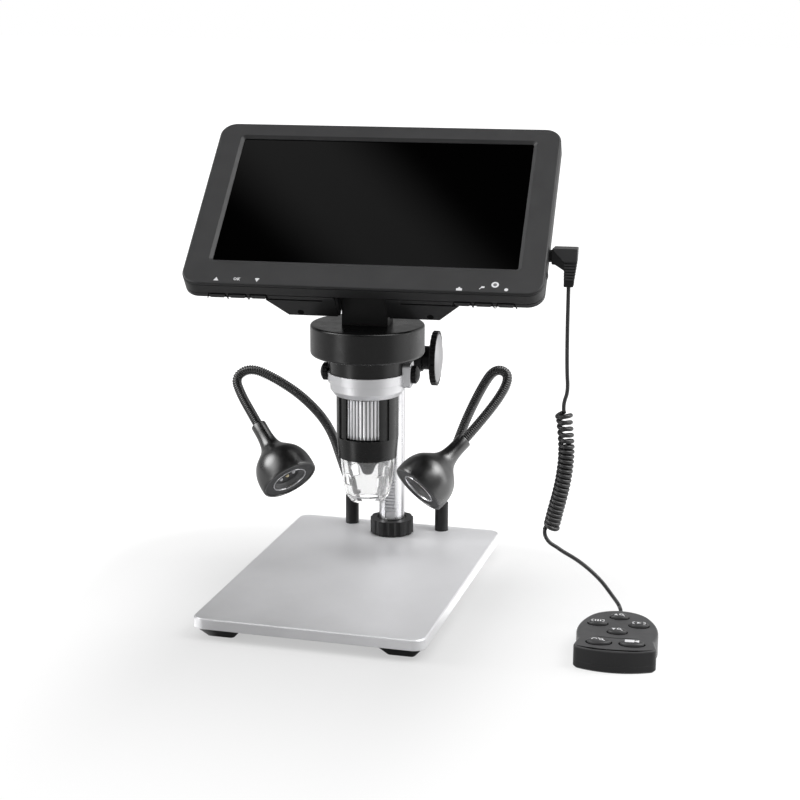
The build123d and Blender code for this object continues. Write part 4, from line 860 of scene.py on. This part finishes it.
def remote_key(name, shapes):
    """Domed oval key and its mark."""
    x, y, width, depth = KEYS[name]
    profile = ((0.95, -2.4), (0.95, 0.45), (0.92, 0.95), (0.83, 1.30), (0.64, 1.48), (0.34, 1.56))
    segments = 56
    verts, faces = [], []
    for scale, z in profile:
        for k in range(segments):
            a = 2 * math.pi * k / segments
            across, ahead = scale * width / 2 * math.cos(a), scale * depth / 2 * math.sin(a)
            verts.append((across, ahead, REMOTE_HEIGHT + z))
    for i in range(len(profile) - 1):
        for k in range(segments):
            n = (k + 1) % segments
            low, high = i * segments, (i + 1) * segments
            faces.append((low + k, low + n, high + n, high + k))
    faces.append(list(reversed(range(segments))))
    faces.append([(len(profile) - 1) * segments + k for k in range(segments)])
    place = remote_place @ shift(x, y, 0)
    short = name.removeprefix("remote_")
    key = make_object("key_" + short, verts, faces, place)
    dress(sharpen(key, 50), remote_key_mat, name, "black_plastic", name)
    marks("mark_" + short, shapes, place, REMOTE_HEIGHT + 1.2, REMOTE_HEIGHT + 1.60, name)


def enlarged(shapes, factor):
    return [[(x * factor, y * factor) for x, y in shape] for shape in shapes]


for key_name, key_shapes in key_marks().items():
    remote_key(key_name, enlarged(key_shapes, MARK_SCALE))


def key_shadows():
    """Dark sheet round each key: the real gap and the painted shadow under the key, a little wider towards
    the front.
    """
    shapes = []
    for x, y, width, depth in KEYS.values():
        for a in range(GAP_PARTS):
            ring = []
            for k, grow, down in ((a, 0.90, 0.0), (a, 1.07, 0.22), (a + 1, 1.07, 0.22), (a + 1, 0.90, 0.0)):
                angle = 2 * math.pi * k / GAP_PARTS
                across, ahead = grow * width / 2 * math.cos(angle), grow * depth / 2 * math.sin(angle)
                ring.append((x + across, y - down + ahead))
            shapes.append(ring)
    marks("key_gaps_and_shadows", shapes, remote_place, REMOTE_HEIGHT - 0.3, REMOTE_HEIGHT + 0.03, "base", gap_and_shade_mat,
          "black_plastic")


key_shadows()


def remote_line(name, points, radius, height, material=None):
    """Half-sunk bead along the remote's top, thinner at its ends."""
    line = np.array([remote_place @ Vector((x, y, height)) for x, y in spline(points, 8)])
    count = len(line)
    radii = [radius * MM * min(1.0, 0.15 + 4 * min(i, count - 1 - i) / count) for i in range(count)]
    dress(sweep(name, line, radii, 10), material or remote_mat, "base", "black_plastic")


crease = [(-11.5, -9.6), (-6.0, -10.4), (0.0, -10.7), (6.0, -10.4), (11.5, -9.6)]
# Painted shade: a dark bead just in front of the lip stands for the shade under it.
lip_shade_line = [(-18.2, -23.0), (-9.3, -25.6), (0.0, -26.4), (9.3, -25.6), (18.2, -23.0)]
lip = [(-17.2, -22.6), (-9.0, -24.9), (0.0, -25.7), (9.0, -24.9), (17.2, -22.6)]
remote_line("remote_crease", crease, 0.6, 11.45)
remote_line("remote_lip_shade", lip_shade_line, 0.35, 11.45, gap_and_shade_mat)
remote_line("remote_lip", lip, 0.8, 11.15)


# ------------------------------------------------------------------ stage, backdrop and light
RIGHT_WALL, LEFT_STRIP = 1.1, 2.8
RIGHT_WALL_WAY, LEFT_STRIP_WAY = (0.93, 0.37, 0.0), (-0.64, -0.77, 0.0)
FLOOR_ALBEDO = 0.30
# Painted shadow round the stage plate: the floor's glow rises from NEAR_GLOW beside it to FAR_GLOW far out.
NEAR_GLOW, MID_GLOW, FAR_GLOW = 0.46, 0.70, 1.0
GLOW_REACH = 0.085
GLOW_IN_MIRRORS = 0.55
HALO_SIDE, HALO_FRONT, HALO_REAR = 0.050, -0.078, 0.02
FRONT_REACH, REAR_REACH = 0.38, 1.2
SKY_LOW, SKY_HIGH = 0.10, 0.80
CEILING = 0.02
HORIZON = 0.42
SOFT_BOXES = (((-0.77, -0.23, 0.60), 9, 25, 9.5), ((0.56, 0.0, 0.83), 12, 36, 4.6))
BAND = 1.0
BAND_PLANE = (0.6136, 0.7856, 0.0796)


class Wiring:
    """Short hand for value nodes in one node tree."""

    def __init__(self, tree):
        self.tree = tree

    def new(self, kind):
        return self.tree.nodes.new(kind)

    def put(self, value, socket):
        if isinstance(value, (int, float)):
            socket.default_value = value
        else:
            self.tree.links.new(value, socket)

    def math(self, kind, a, b):
        node = self.new("ShaderNodeMath")
        node.operation = kind
        self.put(a, node.inputs[0])
        self.put(b, node.inputs[1])
        return node.outputs[0]

    def ramp(self, source, low, high, start, end):
        node = self.new("ShaderNodeMapRange")
        node.interpolation_type = "SMOOTHSTEP"
        for socket, value in (("From Min", low), ("From Max", high), ("To Min", start), ("To Max", end)):
            node.inputs[socket].default_value = value
        self.put(source, node.inputs["Value"])
        return node.outputs["Result"]

    def dot(self, vector, towards):
        node = self.new("ShaderNodeVectorMath")
        node.operation = "DOT_PRODUCT"
        node.inputs[1].default_value = Vector(towards).normalized()
        self.tree.links.new(vector, node.inputs[0])
        return node.outputs["Value"]

    def side_glow(self, way):
        """What mirrors find at the sides: a broad bright wall right, a narrow strip at the front left."""
        level = self.new("ShaderNodeVectorMath")
        level.operation = "MULTIPLY"
        level.inputs[1].default_value = (1, 1, 0)
        self.put(way, level.inputs[0])
        unit = self.new("ShaderNodeVectorMath")
        unit.operation = "NORMALIZE"
        self.put(level.outputs["Vector"], unit.inputs[0])
        right = self.ramp(self.dot(unit.outputs["Vector"], RIGHT_WALL_WAY), 0.62, 0.88, 0.0, RIGHT_WALL)
        left = self.ramp(self.dot(unit.outputs["Vector"], LEFT_STRIP_WAY), 0.984, 0.997, 0.0, LEFT_STRIP)
        return self.math("ADD", right, left)


def floor_material():
    """White floor with a painted shadow: a soft grey halo of weaker glow round the stage plate."""
    material = bpy.data.materials.new("floor_white")
    material.use_nodes = True
    wires = Wiring(material.node_tree)
    shader = material.node_tree.nodes["Principled BSDF"]
    shader.inputs["Base Color"].default_value = (FLOOR_ALBEDO, FLOOR_ALBEDO, FLOOR_ALBEDO, 1)
    shader.inputs["Roughness"].default_value = 0.8
    shader.inputs["Specular IOR Level"].default_value = 0.0
    path = wires.new("ShaderNodeLightPath")
    seen = wires.math("MAXIMUM", path.outputs["Is Camera Ray"], path.outputs["Is Transmission Ray"])
    seen = wires.math("ADD", seen, wires.math("MULTIPLY", path.outputs["Is Glossy Ray"], GLOW_IN_MIRRORS))
    glossy = path.outputs["Is Glossy Ray"]
    coord = wires.new("ShaderNodeTexCoord")
    split = wires.new("ShaderNodeSeparateXYZ")
    wires.put(coord.outputs["Object"], split.inputs[0])
    beside = wires.math("SUBTRACT", wires.math("ABSOLUTE", split.outputs["X"], 0.0), HALO_SIDE)
    before = wires.math("MULTIPLY", wires.math("SUBTRACT", HALO_FRONT, split.outputs["Y"]), FRONT_REACH)
    behind = wires.math("MULTIPLY", wires.math("SUBTRACT", split.outputs["Y"], HALO_REAR), REAR_REACH)
    squares = []
    for away in (beside, before, behind):
        away = wires.math("MAXIMUM", away, 0.0)
        squares.append(wires.math("MULTIPLY", away, away))
    total = wires.math("ADD", wires.math("ADD", squares[0], squares[1]), squares[2])
    distance = wires.math("SQRT", total, 0.0)
    # Painted shadow: weaker glow close to the plate.
    glow = wires.ramp(distance, -0.02, GLOW_REACH, NEAR_GLOW, MID_GLOW)
    glow = wires.math("ADD", glow, wires.ramp(distance, 0.08, 0.15, 0.0, FAR_GLOW - MID_GLOW))
    sides = wires.side_glow(coord.outputs["Object"])
    shader.inputs["Emission Color"].default_value = (1, 1, 1, 1)
    wires.put(wires.math("ADD", wires.math("MULTIPLY", seen, glow), wires.math("MULTIPLY", glossy, sides)),
              shader.inputs["Emission Strength"])
    return material


def backdrop():
    """Floor that runs far out, so its edge is lost against the white world."""
    size = 6.0
    corners = [(-size, -size, FLOOR), (size, -size, FLOOR), (size, size, FLOOR), (-size, size, FLOOR)]
    obj = make_object("floor", corners, [(0, 1, 2, 3)], Matrix.Identity(4), smooth=False)
    obj.data.materials.append(floor_material())


def world_light():
    """White to look at, brighter from above as light; mirrors find a dark ceiling, soft boxes and a band."""
    world = bpy.data.worlds.new("studio")
    bpy.context.scene.world = world
    world.use_nodes = True
    wires = Wiring(world.node_tree)
    path = wires.new("ShaderNodeLightPath")
    coord = wires.new("ShaderNodeTexCoord")
    way = coord.outputs["Generated"]
    split = wires.new("ShaderNodeSeparateXYZ")
    wires.put(way, split.inputs[0])
    height = split.outputs["Z"]
    sky = wires.ramp(height, -0.1, 0.9, SKY_LOW, SKY_HIGH)
    mirror = wires.ramp(height, 0.25, 0.85, HORIZON, CEILING)
    for towards, inner, outer, level in SOFT_BOXES:
        edge, core = math.cos(math.radians(outer)), math.cos(math.radians(inner))
        box = wires.ramp(wires.dot(way, towards), edge, core, 0.0, level)
        mirror = wires.math("ADD", mirror, box)
    offset = wires.math("ABSOLUTE", wires.math("SUBTRACT", wires.dot(way, BAND_PLANE), 0.004), 0.0)
    overhead = wires.ramp(height, 0.75, 0.92, 0.0, 1.0)
    band = wires.math("MULTIPLY", wires.ramp(offset, 0.010, 0.050, BAND, 0.0), overhead)
    mirror = wires.math("ADD", wires.math("ADD", mirror, band), wires.side_glow(way))
    glossy = path.outputs["Is Glossy Ray"]
    lit = wires.math("ADD", wires.math("MULTIPLY", mirror, glossy),
                     wires.math("MULTIPLY", sky, wires.math("SUBTRACT", 1.0, glossy)))
    seen = wires.math("MAXIMUM", path.outputs["Is Camera Ray"], path.outputs["Is Transmission Ray"])
    background = world.node_tree.nodes["Background"]
    background.inputs["Color"].default_value = (1, 1, 1, 1)
    wires.put(wires.math("MAXIMUM", lit, seen), background.inputs["Strength"])


def area_light(name, place, target, size, power, mirrored=True):
    data = bpy.data.lights.new(name, "AREA")
    data.shape = "RECTANGLE"
    data.size, data.size_y = size
    data.energy = power
    obj = bpy.data.objects.new(name, data)
    obj.location = place
    obj.rotation_mode = "QUATERNION"
    obj.rotation_quaternion = (Vector(target) - Vector(place)).to_track_quat("-Z", "Y")
    obj.visible_glossy = mirrored
    bpy.context.scene.collection.objects.link(obj)


backdrop()
world_light()
area_light("left_box", (-1.0, -0.12, 0.40), (0, 0.03, 0.08), (0.35, 0.55), 5.6, mirrored=False)
area_light("right_box", (1.0, 0.20, 0.35), (0, 0.03, 0.10), (0.30, 0.7), 1.6)
area_light("top_box", (0.75, 0.0, 0.95), (0, 0.03, 0.05), (0.5, 0.5), 4.2)

bpy.context.scene.view_settings.view_transform = "Standard"
